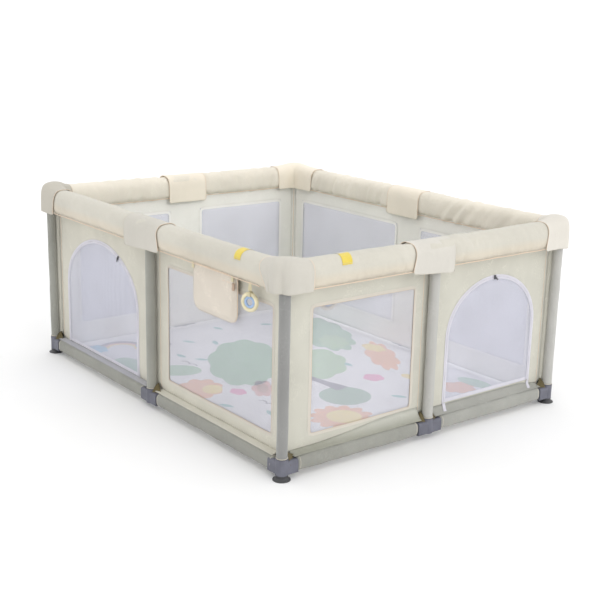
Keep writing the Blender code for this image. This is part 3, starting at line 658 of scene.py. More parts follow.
def make_sleeves():
    """Cloth sleeves over the posts, with a turned-up hem."""
    bottom, top = SOCKET_TOP + SLEEVE_GAPS[0], PAD_BOTTOM - SLEEVE_GAPS[1]
    corners = circle(SLEEVE_SIDES)
    for number, name in enumerate([*CORNER_TURNS, *SIDES]):
        axis = middle(f"post_{name}")

        def point(i, j):
            c, s = corners[j]
            z = bottom + (top - bottom) * i / (SLEEVE_ROWS - 1)
            radius = SLEEVE_RADIUS + SLEEVE_CREASE * wobble(1.3 * c + 9 * number, 1.3 * s, 16 * z)
            return axis.x + radius * c, axis.y + radius * s, z

        sleeve = add(f"post_sleeve_{name}", *surface(SLEEVE_ROWS, SLEEVE_SIDES, point, closed_columns=True),
                     SLEEVE_LIGHTING.get(name, SLEEVE), "rail_fabric")
        thicken(sleeve, SLEEVE_CLOTH)
        radius = SLEEVE_RADIUS + 0.0006
        hem_line = [(axis.x + radius * c, axis.y + radius * s, bottom + 0.0012) for c, s in corners]
        hem = add(f"sleeve_hem_{name}", *tube(hem_line, SLEEVE_HEM, closed=True), IVORY, "rail_fabric")


def finish_cad_nodes():
    """The hard CAD pieces keep their shape and get their finished materials."""
    looks = {"base_connector": PLASTIC, "suction_cup": RUBBER, "post_": STEEL, "bottom_tube": STEEL,
             "top_tube": STEEL}
    for name, obj in frame["nodes"].items():
        for start, material in looks.items():
            if name.startswith(start) and not name.startswith("post_cap"):
                obj.data.materials.clear()
                obj.data.materials.append(material)


# ---------------------------------------------------------------- padded rails
PAD_PITCH = 0.0065
PAD_SIDES = 34
PAD_SOFT = 0.0012  # how much smaller than its solid a pad starts
PAD_POWERS = (2.7, 3.9)  # of the rounded cross-section, above and below its middle
PAD_SWELL = 0.0045  # the furthest that stuffing moves the cloth
PAD_PRESSURE = 4.0
PAD_SPARE_CLOTH = 0.05
PAD_STIFFNESS = 0.6
SIM_FRAMES = 20
RAIL_LIFT = 0.0050  # of the far rails over the near ones
RAIL_CENTRE = (PAD_BOTTOM + PAD_TOP) / 2
GATHERS = {  # depth of the gathers
    "front": 0.0024, "right": 0.0018, "back": 0.0085, "left": 0.0055,
}
FADE_AT_CAPS = (0.030, 0.002)  # before a cap's edge, where gathers start to fade and where they are gone
SEAM_IN = 0.0035  # from the pad's faces to its seams
SEAM_RADIUS = 0.0015
SEAM_STEPS = 120


def pad_rings(side):
    """A pad before it is stuffed: rounded rings along the side, flatter underneath than on top."""
    start, end = span_of(side, f"top_rail_pad_{side}")
    half, low, high = PAD_HALF - PAD_SOFT, PAD_BOTTOM + 0.5 * PAD_SOFT, PAD_TOP - PAD_SOFT
    centre, reach = (low + high) / 2, (high - low) / 2
    section = []
    for c, s in circle(PAD_SIDES):
        power = 2 / (PAD_POWERS[0] if s > 0 else PAD_POWERS[1])
        section.append((half * boxed(c, power), centre + reach * boxed(s, power)))
    count = round((end - start) / PAD_PITCH)
    return [[(start + (end - start) * i / count, w, z) for w, z in section] for i in range(count + 1)]


def simulate(pads):
    """Stuff every pad at once: a little air pressure and slightly spare cloth."""
    starts = {}
    for obj in pads:
        starts[obj.name] = np.array([v.co for v in obj.data.vertices])
        modifier = obj.modifiers.new("stuffing", "CLOTH")
        settings = modifier.settings
        settings.quality = 4
        settings.use_pressure = True
        settings.uniform_pressure_force = PAD_PRESSURE
        settings.shrink_min = -PAD_SPARE_CLOTH
        settings.effector_weights.gravity = 0.0
        settings.bending_stiffness = PAD_STIFFNESS
        modifier.collision_settings.use_collision = False
        modifier.point_cache.frame_start = 1
        modifier.point_cache.frame_end = SIM_FRAMES
    scene = bpy.context.scene
    for step in range(1, SIM_FRAMES + 1):
        scene.frame_set(step)
    graph = bpy.context.evaluated_depsgraph_get()
    results = {}
    for obj in pads:
        shaped = obj.evaluated_get(graph).data
        moved = np.array([v.co for v in shaped.vertices]) - starts[obj.name]
        length = np.linalg.norm(moved, axis=1, keepdims=True)
        capped = moved * np.minimum(1.0, PAD_SWELL / np.maximum(length, 1e-9))
        results[obj.name] = starts[obj.name] + capped
    for obj in pads:
        obj.modifiers.clear()
        obj.data.vertices.foreach_set("co", results[obj.name].astype(np.float32).ravel())
        obj.data.update()
    scene.frame_set(1)


def raised(point):
    """A point of the rails or caps where it really is: the far rails sit a little higher."""
    share = max(smooth(-0.4, 0.5, point.y), smooth(0.3, -0.6, point.x))
    point.z += RAIL_LIFT * share * smooth(RAIL_CENTRE - 0.010, PAD_TOP, point.z)
    return point


def cap_cover(side, u):
    """1 where a cap covers the rail, falling to 0 a little way past its edge."""
    start, end = span_of(side, f"post_cap_{side}")
    past = max(min(u - start, end - u), abs(u) - (SIDES[side][1] - CORNER_CAP_ARM))
    return smooth(-FADE_AT_CAPS[0], -FADE_AT_CAPS[1], past)


def crease_pad(side, obj):
    """Gathers across the rail, and a snug fit under the caps."""
    matrix = side_matrix(side)
    inverse = matrix.inverted()
    seed = 10.0 * list(SIDES).index(side)
    snug_half, snug_top = PAD_HALF - 0.0010, PAD_TOP - 0.0012
    for vertex in obj.data.vertices:
        u, w, z = inverse @ vertex.co
        cover = cap_cover(side, u)
        lean = u + (0.9 if side == "back" and u <= 0 else 0.35) * (z - RAIL_CENTRE)
        fold = wobble(lean * 34, seed) + 0.6 * wobble(lean * 68, seed + 3, 4 * w)
        dent = 0.0014 * wobble(u * 9, seed + 5, z * 14)
        low_share = 1.0 - 0.55 * smooth(RAIL_CENTRE, PAD_TOP, z)
        push = (1.0 - cover) * (GATHERS[side] * low_share * fold + dent)
        out = Vector((w / PAD_HALF, (z - RAIL_CENTRE) / (PAD_TOP - RAIL_CENTRE))).normalized()
        w += push * out.x
        z += push * out.y
        if cover > 0.0:
            w = (1 - cover) * w + cover * min(max(w, -snug_half), snug_half)
            z = (1 - cover) * z + cover * min(z, snug_top)
        vertex.co = raised(matrix @ Vector((u, w, z)))
    obj.data.update()


# The back and left pads take the lighter copy: painted light.
CLOTHS = {"front": CREAM, "right": CREAM, "back": FAR_LIT_CREAM, "left": FAR_LIT_CREAM}
# The back and left windows take the lighter net: painted light.
NETS = {"front": NET, "right": NET, "back": FAR_LIT_NET, "left": FAR_LIT_NET}


def make_pads():
    """The padded top rails."""
    pads = {}
    for side in SIDES:
        pads[side] = add(f"rail_padding_{side}", *loft(pad_rings(side)), CLOTHS[side], "cream_fabric",
                         matrix=side_matrix(side))
        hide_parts(f"top_rail_pad_{side}")
    simulate(list(pads.values()))
    for side, pad in pads.items():
        crease_pad(side, pad)
        soften(pad)
        seam_under_pad(side)


def seam_under_pad(side):
    """The peach seams where the padded cover closes under the rail, outside and inside."""
    half = SIDES[side][1] - CORNER_CAP_ARM
    lines = []
    for w in (-PAD_HALF + SEAM_IN, PAD_HALF - SEAM_IN):
        points = []
        for i in range(SEAM_STEPS + 1):
            u = -half + 2 * half * i / SEAM_STEPS
            points.append((u, w + 0.0006 * wobble(u * 12, 3, w * 90),
                           PAD_BOTTOM + SEAM_IN + 0.0010 * wobble(u * 15, 7, w * 90)))
        lines.append(tube(points, SEAM_RADIUS))
    add(f"rail_seam_{side}", *together(lines), PEACH, "cream_fabric", matrix=side_matrix(side))


# ---------------------------------------------------------------- caps over the posts
CAP_CLOTH = 0.0016
CAP_LINE = PAD_HALF + 0.0012
CAP_CEILING = PAD_TOP + 0.0016
CAP_POWER = 2 / 2.6  # of the rounded top
CAP_ROWS = 38
CAP_PITCH = 0.006
CAP_HEM_ROUND = 0.006
CAP_END_FLARE = 0.0020  # how far the cloth stands out at the ends of a cap
CAP_END_REACH = 0.010  # from an end, over which it does so
CAP_LOOSENESS = (0.0018, 0.0026)  # of the middle and the corner caps' skirts
PEACH_CORD, HEM_CORD = 0.0009, 0.0008
CORNER_OUTER_ROUND = 0.056
CORNER_INNER_ROUND = 0.006
CORNER_COLUMNS = 56
CORNER_ARM_SHARE = 0.36  # of a corner cap's length that is in each straight arm
CORNER_BEND = 0.04  # of its length round the corner


def cap_section(bottom):
    """Across a cap from the outer hem over the top to the inner hem: (outward offset, z)."""
    outline = [(CAP_LINE, bottom)]
    for i in range(33):
        c, s = math.cos(math.pi * i / 32), math.sin(math.pi * i / 32)
        height = RAIL_CENTRE + (CAP_CEILING - RAIL_CENTRE) * max(s, 0.0) ** CAP_POWER
        outline.append((CAP_LINE * boxed(c, CAP_POWER), height))
    outline.append((-CAP_LINE, bottom))
    dense = spread(outline, 0.0015, closed=False)
    return [dense[round(i * (len(dense) - 1) / (CAP_ROWS - 1))] for i in range(CAP_ROWS)]


def hem_rise(from_end):
    """How far the hem climbs near a cap's end, where its lower corner is rounded off."""
    if from_end >= CAP_HEM_ROUND:
        return 0.0
    gap = CAP_HEM_ROUND - from_end
    return CAP_HEM_ROUND - math.sqrt(CAP_HEM_ROUND ** 2 - gap ** 2)


def hang(offset, z, bottom, along, seed, looseness):
    """Where the cloth of a skirt really hangs: flutes that open towards the hem."""
    drop = smooth(CAP_CEILING - 0.02, bottom, z)
    flute = wobble(along * 32 + seed, seed, 3 * z) + 0.5 * wobble(along * 70 + seed, seed + 2)
    return offset + math.copysign(looseness * drop * (0.25 + flute), offset)


# Each cap wears the copy that matches its light: painted light and shade.
CAP_CLOTHS = {
    "front": SHADED_CAP, "right": CAP_CREAM, "back": FAR_LIT_CAP, "left": FAR_LIT_CAP, "front_left": DEEP_SHADED_CAP,
    "front_right": SHADED_CAP, "back_right": LIT_CAP, "back_left": FAR_LIT_CAP,
}


def make_cap(kind, key, start, length, count, place, bottom, looseness, seed, peach_ends=(True, True)):
    """A cap as one draped sheet; place(share of its length, offset, z) gives a point in the row frame."""
    section = cap_section(bottom)
    columns = []
    for share in (i / count for i in range(count + 1)):
        along, from_end = start + length * share, min(share, 1 - share) * length
        flare = CAP_END_FLARE * smooth(CAP_END_REACH, 0.0, from_end)
        column = []
        for offset, z in section:
            low = smooth(CAP_CEILING - 0.03, bottom, z)
            height = z + hem_rise(from_end) * low + 0.0015 * low * wobble(along * 20, seed, 5)
            height -= 0.0012 * (1.0 - low) * (1.0 + wobble(along * 18, seed + 4, offset * 40))
            out = hang(offset, z, bottom, along, seed, looseness) + math.copysign(flare, offset)
            column.append(raised(place(share, out, height)))
        columns.append(column)
    name = f"{kind}_cap_{key}"
    cap = add(name, *surface(len(columns), CAP_ROWS, lambda i, j: columns[i][j]), CAP_CLOTHS[key],
              "cream_fabric")
    thicken(cap, CAP_CLOTH)
    soften(cap)
    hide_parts(f"post_cap_{key}")
    ends = [tube(column, PEACH_CORD) for column in (columns[0], columns[-1])]
    hems = [tube([column[row] for column in columns], HEM_CORD) for row in (0, -1)]
    hems += [end for end, peach in zip(ends, peach_ends) if not peach]
    overlock = add(f"{name}_overlock", *together([end for end, peach in zip(ends, peach_ends) if peach]),
                   PEACH, "cream_fabric")
    hem = add(f"{name}_hem", *together(hems), IVORY, "cream_fabric")
    around = sum(math.dist(a, b) for a, b in zip(section, section[1:]))


# For the two ends of each cap: whether the edging is peach, how much the hem lifts, how far it slants
PEACH_ENDS = {"front": (False, True), "right": (True, False), "back": (True, True), "left": (True, True)}
HEM_TILTS = {"front": (0.0, 0.012), "right": (0.012, -0.002), "back": (0.004, 0.004),
             "left": (0.004, 0.004)}
END_SLANTS = {"front": (0.004, 0.012), "right": (-0.010, -0.004), "back": (0.0, 0.0), "left": (0.0, 0.0)}


def make_mid_caps():
    """The caps over the posts in the middle of each side."""
    for number, side in enumerate(SIDES):
        start, end = span_of(side, f"post_cap_{side}")
        matrix = side_matrix(side)

        def place(share, offset, z):
            drop = smooth(CAP_CEILING - 0.02, MID_CAP_BOTTOM, z) if offset > 0 else 0.0
            slant, rise = (drop * (ends[side][0] * (1 - share) + ends[side][1] * share)
                           for ends in (END_SLANTS, HEM_TILTS))
            return matrix @ Vector((start + (end - start) * share + slant, -offset, z + rise))

        make_cap("rail", side, start, end - start, round((end - start) / CAP_PITCH), place,
                 MID_CAP_BOTTOM, CAP_LOOSENESS[0], 4.0 + 7 * number, PEACH_ENDS[side])


def corner_point(offset, share, arms):
    """A point in plan on a cap's line round the corner; share runs from one arm's end to the other's."""
    outward = min(max((offset + CAP_HALF) / (2 * CAP_HALF), 0.0), 1.0)
    radius = CORNER_INNER_ROUND + (CORNER_OUTER_ROUND - CORNER_INNER_ROUND) * outward
    bend = radius - offset
    if share < CORNER_ARM_SHARE:
        return arms[0] + (bend - arms[0]) * share / CORNER_ARM_SHARE, -offset
    if share > 1.0 - CORNER_ARM_SHARE:
        return -offset, arms[1] + (bend - arms[1]) * (1.0 - share) / CORNER_ARM_SHARE
    angle = QUARTER * (share - CORNER_ARM_SHARE) / (1.0 - 2 * CORNER_ARM_SHARE)
    return bend - radius * math.sin(angle), bend - radius * math.cos(angle)


# Length of each corner cap's two arms, and how far it domes over the head of the post
CAP_ARMS = {"front_left": (0.108, 0.070), "front_right": (0.070, 0.070), "back_right": (0.070, 0.102),
            "back_left": (0.118, 0.160)}
CAP_DOMES = {"front_left": 0.015, "front_right": 0.008, "back_right": 0.012, "back_left": 0.010}
# How much shorter each arm is at its hem
CAP_SLANTS = {"front_left": (0.010, 0.0), "front_right": (0.004, 0.036), "back_right": (0.0, -0.008),
              "back_left": (0.0, 0.0)}
# Folds round the corner: where along the cap, how wide, how deep
CAP_FOLDS = ((0.520, 0.026, -0.0085), (0.44, 0.026, 0.0020), (0.60, 0.026, 0.0020), (0.75, 0.05, -0.002))


def make_corner_caps():
    """The caps over the corner posts."""
    for number, name in enumerate(CORNER_TURNS):
        matrix = corner_matrix(name)

        def place(share, offset, z):
            drop = smooth(CAP_CEILING - 0.01, CORNER_CAP_BOTTOM, z) if offset > 0 else 0.0
            arms = [arm - slant * drop for arm, slant in zip(CAP_ARMS[name], CAP_SLANTS[name])]
            dome = CAP_DOMES[name] * math.sin(math.pi * share) ** 2
            z += dome * smooth(CORNER_CAP_BOTTOM + 0.03, CAP_CEILING, z)
            fold = sum(deep * math.exp(-((share - where) / wide) ** 2) for where, wide, deep in CAP_FOLDS)
            shift = fold * smooth(0.0, CAP_LINE, offset) * (0.4 + 0.6 * drop)
            return matrix @ Vector((*corner_point(offset + shift, share, arms), z))

        make_cap("corner", name, 0.0, sum(CAP_ARMS[name]) + CORNER_BEND, CORNER_COLUMNS, place,
                 CORNER_CAP_BOTTOM, CAP_LOOSENESS[1], 50.0 + 9 * number)


# ---------------------------------------------------------------- walls
CLOTH_PITCH = 0.014
WALL_CLOTH = 0.0009
NET_CLOTH = 0.0005
BINDING = 0.009  # width of the binding round a window
BINDING_RAISE = 0.0005  # over the cloth
BINDING_OVERHANG = 0.0005  # past the window's edge
TUCKED = 0.012  # of wall cloth hidden in the rail
NET_PITCH = 0.022
SEAM_ROWS = 41
SEAMS_IN = (0.034, 0.026)  # from a wall's ends and from its middle to the upright seams
# Each wall takes the copy of the cloth that matches its light: painted light.
WALL_CLOTHS = {"front": LIT_FRONT_WALL, "right": WALL, "back": FAR_LIT_WALL, "left": FAR_LIT_WALL}
# The far windows take the lighter binding: painted light.
BINDING_CLOTHS = {"back": FAR_LIT_BINDING, "left": FAR_LIT_BINDING}


def sway(side, u, z):
    """How far the wall leaves its flat place, inwards: slack cloth between held edges."""
    half = SIDES[side][1]
    held = smooth(0.0, 0.10, half - abs(u)) * smooth(0.0, 0.05, abs(u))
    held *= smooth(WALL_TOP, WALL_TOP - 0.05, z)
    if side in DOORS:
        centre, reach = DOORS[side][:2]
        held *= smooth(reach, reach + 0.04, abs(u - centre))
    seed = 5.0 * list(SIDES).index(side)
    slack = 0.0022 * wobble(u * 5, z * 4, seed) + 0.0009 * wobble(u * 17, z * 11, seed + 2)
    tuck = 0.0045 * smooth(0.095, 0.045, z)
    return held * (slack + 0.0008) + tuck * smooth(0.0, 0.06, half - abs(u))


def area_of(outline):
    """The area inside a closed outline."""
    points = np.array(outline)
    following = np.roll(points, -1, axis=0)
    return abs((points[:, 0] * following[:, 1] - points[:, 1] * following[:, 0]).sum()) / 2


def hung(side, points, depth):
    """Flat points (u, z) set on the swaying wall, depth further out or in."""
    return [(u, WALL_MIDDLE + depth + sway(side, u, z), z) for u, z in points]


def make_walls():
    """The cloth walls, with openings for the windows and the doors."""
    for side in SIDES:
        end = SIDES[side][1] - WALL_MIDDLE - 0.0004
        outline = rectangle(-end, end, WALL_BOTTOM, WALL_TOP + TUCKED)
        holes = [rectangle(*window, WINDOW_ROUND) for window in WINDOWS[side]]
        if side in DOORS:
            holes.append(arch(side, 0.0006, DOOR_SILLS[side]))
        flat, triangles = cut_cloth(outline, holes, CLOTH_PITCH)
        wall = add(f"wall_cloth_{side}", hung(side, flat, 0.0), triangles, WALL_CLOTHS[side],
                   "wall_fabric", matrix=side_matrix(side))
        thicken(wall, WALL_CLOTH)
        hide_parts(f"wall_{side}")
        width, height = 2 * end, WALL_TOP + TUCKED - WALL_BOTTOM
        area = width * height - sum(area_of(hole) for hole in holes)
        make_wall_trims(side)


def follow(side, line_a, line_b, depth, thick):
    """A closed band on the wall between two matching lines."""
    depths = (depth, depth, depth + thick, depth + thick)
    loops = [hung(side, line, d) for line, d in zip((line_a, line_b, line_b, line_a), depths)]
    return [point for row in zip(*loops) for point in row], grid_faces(len(line_a), 4, True, True)


def grown_rectangle(window, grow):
    """A window's rounded outline grown outwards; the points match for every amount."""
    u0, u1, z0, z1 = window
    middle_u, middle_z = (u0 + u1) / 2, (z0 + z1) / 2
    radius = WINDOW_ROUND + grow
    points = []
    for u, z in spread(rectangle(u0, u1, z0, z1), 0.012):
        corner_u = u1 - WINDOW_ROUND if u > middle_u else u0 + WINDOW_ROUND
        corner_z = z1 - WINDOW_ROUND if z > middle_z else z0 + WINDOW_ROUND
        du, dz = u - corner_u, z - corner_z
        past_u = abs(u - middle_u) > (u1 - u0) / 2 - WINDOW_ROUND
        past_z = abs(z - middle_z) > (z1 - z0) / 2 - WINDOW_ROUND
        if past_u and past_z:
            size = math.hypot(du, dz)
            points.append((corner_u + du / size * radius, corner_z + dz / size * radius))
        elif past_u:
            points.append((corner_u + math.copysign(radius, du), z))
        else:
            points.append((u, corner_z + math.copysign(radius, dz)))
    return points


def make_wall_trims(side):
    """Window bindings with a peach edge, and the upright seams."""
    matrix = side_matrix(side)
    face = -WALL_CLOTH / 2
    bands, cords = [], []
    for window in WINDOWS[side]:
        inner, outer = grown_rectangle(window, -BINDING_OVERHANG), grown_rectangle(window, BINDING)
        bands.append(follow(side, inner, outer, face - BINDING_RAISE, BINDING_RAISE - 0.0001))
        bands.append(follow(side, inner, outer, WALL_BACK - WALL_MIDDLE + 0.0007, BINDING_RAISE))
        cords.append(tube(hung(side, inner, face - BINDING_RAISE), 0.0006, closed=True))
    end = SIDES[side][1] - SEAMS_IN[0]
    top, bottom = PAD_BOTTOM - 0.002, RAIL_HIGH + 0.004
    for u in (-end, -SEAMS_IN[1], SEAMS_IN[1], end):
        line = [(u, bottom + (top - bottom) * i / (SEAM_ROWS - 1)) for i in range(SEAM_ROWS)]
        cords.append(tube(hung(side, line, face - 0.0004), 0.0007))
    binding = add(f"window_binding_{side}", *together(bands), BINDING_CLOTHS.get(side, BINDING_CLOTH),
                  "wall_fabric", matrix=matrix, rounded=False)
    seams = add(f"wall_seams_{side}", *together(cords), PEACH, "wall_fabric", matrix=matrix)
    return [binding, seams]


def make_nets():
    """One net behind each window, both of a wall's nets in one piece."""
    m = NET_MARGIN
    for side, windows in WINDOWS.items():
        parts, area = [], 0.0
        for u0, u1, z0, z1 in windows:
            flat, triangles = cut_cloth(rectangle(u0 - m, u1 + m, z0 - m, z1 + m), [], NET_PITCH)
            parts.append((hung(side, flat, WALL_BACK - WALL_MIDDLE + 0.0002), triangles))
            area += (u1 - u0 + 2 * m) * (z1 - z0 + 2 * m)
        piece = add(f"window_net_{side}", *together(parts), NETS[side], "mesh_fabric",
                    matrix=side_matrix(side))
        thicken(piece, NET_CLOTH)
        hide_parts(f"window_mesh_{side}")


# ---------------------------------------------------------------- doors and zips
TAPE_WIDTH = 0.0065
TAPE_RAISE = 0.0009  # over the cloth
TAPE_GAP = 0.0010  # from the zip's line to the tape on each side of it
TOOTH_PITCH = 0.0042
TOOTH = (0.0011, 0.0011, 0.0009)  # half sizes across, along and out
TOOTH_IN = 0.0007  # from the zip's line to the middle of a tooth
TEETH_RISE = 0.004  # from the sill to the lowest tooth
DOOR_PITCH = 0.018
DOOR_HEM = 0.011
DOOR_HEM_IN = 0.008  # from the zip's line to the ends of the hem


def tape(side, inner, outer, sill):
    """Zip tape along the arch, on the outer and the inner face of the cloth."""
    line_a, line_b = arch(side, inner, sill), arch(side, outer, sill)
    face, back = WALL_FACE + 0.0005, WALL_BACK - 0.0005
    return together([ribbon(line_a, line_b, face - TAPE_RAISE, face + 0.0001),
                     ribbon(line_a, line_b, back - 0.0001, back + TAPE_RAISE)])


def teeth(side, sign, sill):
    """The teeth along one side of the zip's line; sign is 1 outside the arch and -1 inside."""
    line = spread(arch(side, 0.0, sill), TOOTH_PITCH / 4, closed=False)
    across, along, out = TOOTH
    parts = []
    travelled, wanted = 0.0, TOOTH_PITCH * (0.25 if sign > 0 else 0.75)
    for a, b in zip(line, line[1:]):
        travelled += math.dist(a, b)
        if travelled < wanted:
            continue
        wanted += TOOTH_PITCH
        way = Vector((b[0] - a[0], b[1] - a[1])).normalized()
        normal = Vector((-way.y, way.x)) * sign
        centre = Vector(b) + normal * TOOTH_IN
        corners = []
        for depth in (WALL_FACE - 0.0004 - out, WALL_FACE + 0.0006):
            for su, sv in ((-1, -1), (1, -1), (1, 1), (-1, 1)):
                p = centre + normal * (su * across) + way * (sv * along)
                corners.append((p.x, depth, p.y))
        parts.append((corners, [(0, 1, 2, 3), (7, 6, 5, 4), (0, 4, 5, 1), (1, 5, 6, 2), (2, 6, 7, 3),
                                (3, 7, 4, 0)]))
    return together(parts)


def make_doors():
    """The net doors with their zips: tape and teeth on the door, and on the wall round it."""
    for side, (centre, half, spring, rise) in DOORS.items():
        matrix = side_matrix(side)
        body = f"door_{side}"
        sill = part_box(body)[0].z + 0.0004
        outline = arch(side, -0.0012, sill)
        flat, triangles = cut_cloth(outline, [], DOOR_PITCH)
        points = [(u, WALL_MIDDLE + 0.0005 * wobble(u * 9, z * 9, 3), z) for u, z in flat]
        panel = add(f"door_net_{side}", points, triangles, DOOR_NET, "mesh_fabric", body, matrix)
        thicken(panel, NET_CLOTH)
        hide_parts(body)
        reach = half - DOOR_HEM_IN
        low = [(centre - reach + 2 * reach * i / 40, sill) for i in range(41)]
        high = [(u, z + DOOR_HEM) for u, z in low]
        hem = together([ribbon(low, high, WALL_FACE, WALL_MIDDLE - 0.0004),
                        ribbon(low, high, WALL_MIDDLE + 0.0004, WALL_BACK)])
        parts = (("tape", tape(side, -TAPE_WIDTH, -TAPE_GAP, sill), ZIP_TAPE), ("hem", hem, ZIP_TAPE),
                 ("teeth", teeth(side, -1, sill + TEETH_RISE), ZIP_TEETH))
        trims = [add(f"door_{name}_{side}", *shape, material, "mesh_fabric", body, matrix, rounded=False)
                 for name, shape, material in parts]
        area_of(outline)
        add(f"wall_tape_{side}", *tape(side, TAPE_GAP, TAPE_WIDTH + TAPE_GAP, RAIL_HIGH + 0.001), ZIP_TAPE,
            "wall_fabric", "pen", matrix, rounded=False)
        add(f"wall_teeth_{side}", *teeth(side, 1, sill + TEETH_RISE), ZIP_TEETH, "wall_fabric", "pen",
            matrix, rounded=False)
        make_slider(side, matrix)


SLIDER_RISE = 0.0065  # of the slider's head over the crown of the arch
SLIDER_RINGS = ((-0.013, 0.0030, 0.0026), (-0.011, 0.0044, 0.0036), (-0.006, 0.0036, 0.0038),
                (-0.002, 0.0048, 0.0036), (0.0, 0.0034, 0.0026))  # height, half width and depth
SOFT_BOX = 0.6  # power of the slider's and the clip's squared-off sections
TAB_LEANS = {"front": math.radians(-15), "right": math.radians(-52)}
TAB_CLOTH = 0.0012


def make_slider(side, matrix):
    """A zip slider on the arch: waisted body, bridge and a pierced pull tab."""
    centre, _, spring, rise = DOORS[side]
    pivot = Matrix.Translation((centre, 0.0, crown_circle(side)[1]))
    place = matrix @ pivot @ Matrix.Rotation(SLIDER_PLACES[side], 4, "Y") @ pivot.inverted()
    top = spring + rise + SLIDER_RISE
    face = WALL_FACE - 0.0007
    rings = [[(centre + half * boxed(c, SOFT_BOX), face - depth / 2 + depth / 2 * boxed(s, SOFT_BOX),
               top + z) for c, s in circle(16)] for z, half, depth in SLIDER_RINGS]
    bridge = [(centre, face - 0.0030 - 0.0022 * math.sin(math.pi * i / 8), top - 0.0025 - 0.001 * i)
              for i in range(9)]
    slider = add(f"slider_body_{side}", *together([loft(rings), tube(bridge, 0.0008)]), DARK_METAL,
                 "slider_metal", f"slider_{side}", place)
    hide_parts(f"zip_slider_{side}")
    outline = rectangle(centre - 0.0028, centre + 0.0028, top - 0.021, top - 0.004, 0.0022)
    hole = rectangle(centre - 0.0011, centre + 0.0011, top - 0.019, top - 0.014, 0.0010)
    flat, triangles = cut_cloth(outline, [hole], 0.0022)
    knot = Matrix.Translation((centre, 0.0, spring + rise))
    lean = knot @ Matrix.Rotation(TAB_LEANS[side], 4, "Y") @ knot.inverted()
    tab = add(f"slider_tab_{side}", [(x, face - 0.0048, z) for x, z in flat], triangles, DARK_METAL,
              "slider_metal", f"slider_{side}", place @ lean)
    thicken(tab, TAB_CLOTH)


# ---------------------------------------------------------------- bottom rails
RAIL_SIDES = 26
RAIL_PITCH = 0.009
RAIL_POWER = 0.72  # of the squared-off cross-section
RAIL_SNUG = 0.10  # how much the sleeve draws in at its ends
RAIL_FOLD = 0.0012  # depth of the creases, in each of two sizes
ARM_OVERLAPS = {("front", 1): 0.008, ("front", 2): 0.020}  # of sleeve pulled over a connector's arm
# The lit rail takes the lighter copy: painted light.
RAIL_CLOTHS = {("right", 2): LIT_RAIL_GREY}


def make_bottom_rails():
    """The padded sleeves of the bottom rails, with a hem at each end."""
    centre, reach = (RAIL_LOW + RAIL_HIGH) / 2, (RAIL_HIGH - RAIL_LOW) / 2
    for side, number in ((side, number) for side in SIDES for number in (1, 2)):
        node = f"bottom_rail_{side}_{number}"
        start, end = span_of(side, node)
        end += ARM_OVERLAPS.get((side, number), 0.0)
        seed = 3.0 * number + 11.0 * list(SIDES).index(side)
        count = round((end - start) / RAIL_PITCH)
        rings = []
        for u in (start + (end - start) * i / count for i in range(count + 1)):
            snug = 1.0 - RAIL_SNUG * smooth(0.05, 0.0, min(u - start, end - u))
            ring = []
            for c, s in circle(RAIL_SIDES):
                w, z = RAIL_HALF * boxed(c, RAIL_POWER), reach * boxed(s, RAIL_POWER)
                fold = RAIL_FOLD * (wobble(u * 14, seed, 2.0 * s + c) + wobble(u * 48 + 30 * z, seed))
                size = snug * (0.965 + fold / RAIL_HALF)
                ring.append((u, w * size, centre + z * size))
            rings.append(ring)
        rail = add(f"rail_sleeve_{side}_{number}", *loft(rings), RAIL_CLOTHS.get((side, number), GREY),
                   "rail_fabric", matrix=side_matrix(side))
        soften(rail)
        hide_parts(node)
        hems = together([tube(rings[row], 0.0009, closed=True) for row in (1, -2)])
        add(f"rail_hem_{side}_{number}", *hems, IVORY, "rail_fabric", matrix=side_matrix(side))


# ---------------------------------------------------------------- straps, rings, bag
PULLS = {  # side: (band's middle, its half width, angles round the pad, tail's head, its twist)
    "front": (0.541, 0.0150, (-65, 202), PAD_BOTTOM - 0.0012, math.radians(20)),
    "right": (-0.383, 0.0185, (-66, 128), PAD_BOTTOM + 0.006, math.radians(-20)),
}
TABS = {"front": (14, -0.016), "right": (12, 0.014)}  # yellow rows, and the band's drift along them
BAND_COLUMNS = (-1.0, -0.93, -0.5, 0.0, 0.5, 0.93, 1.0)
BAND_STEP = 6  # degrees from row to row
BAND_RAISE = 0.0011  # over the pad
BAND_THICKNESS = {"tab": 0.0014, "band": 0.0010}
TAIL_HALF = 0.0065
TAIL_THICKNESS = 0.0012
LOOP = 0.0084  # radius of the tail's loop
RING_MINOR = 0.0058
GRIP = (0.0140, 0.0042)  # radii of the ring's inner grip


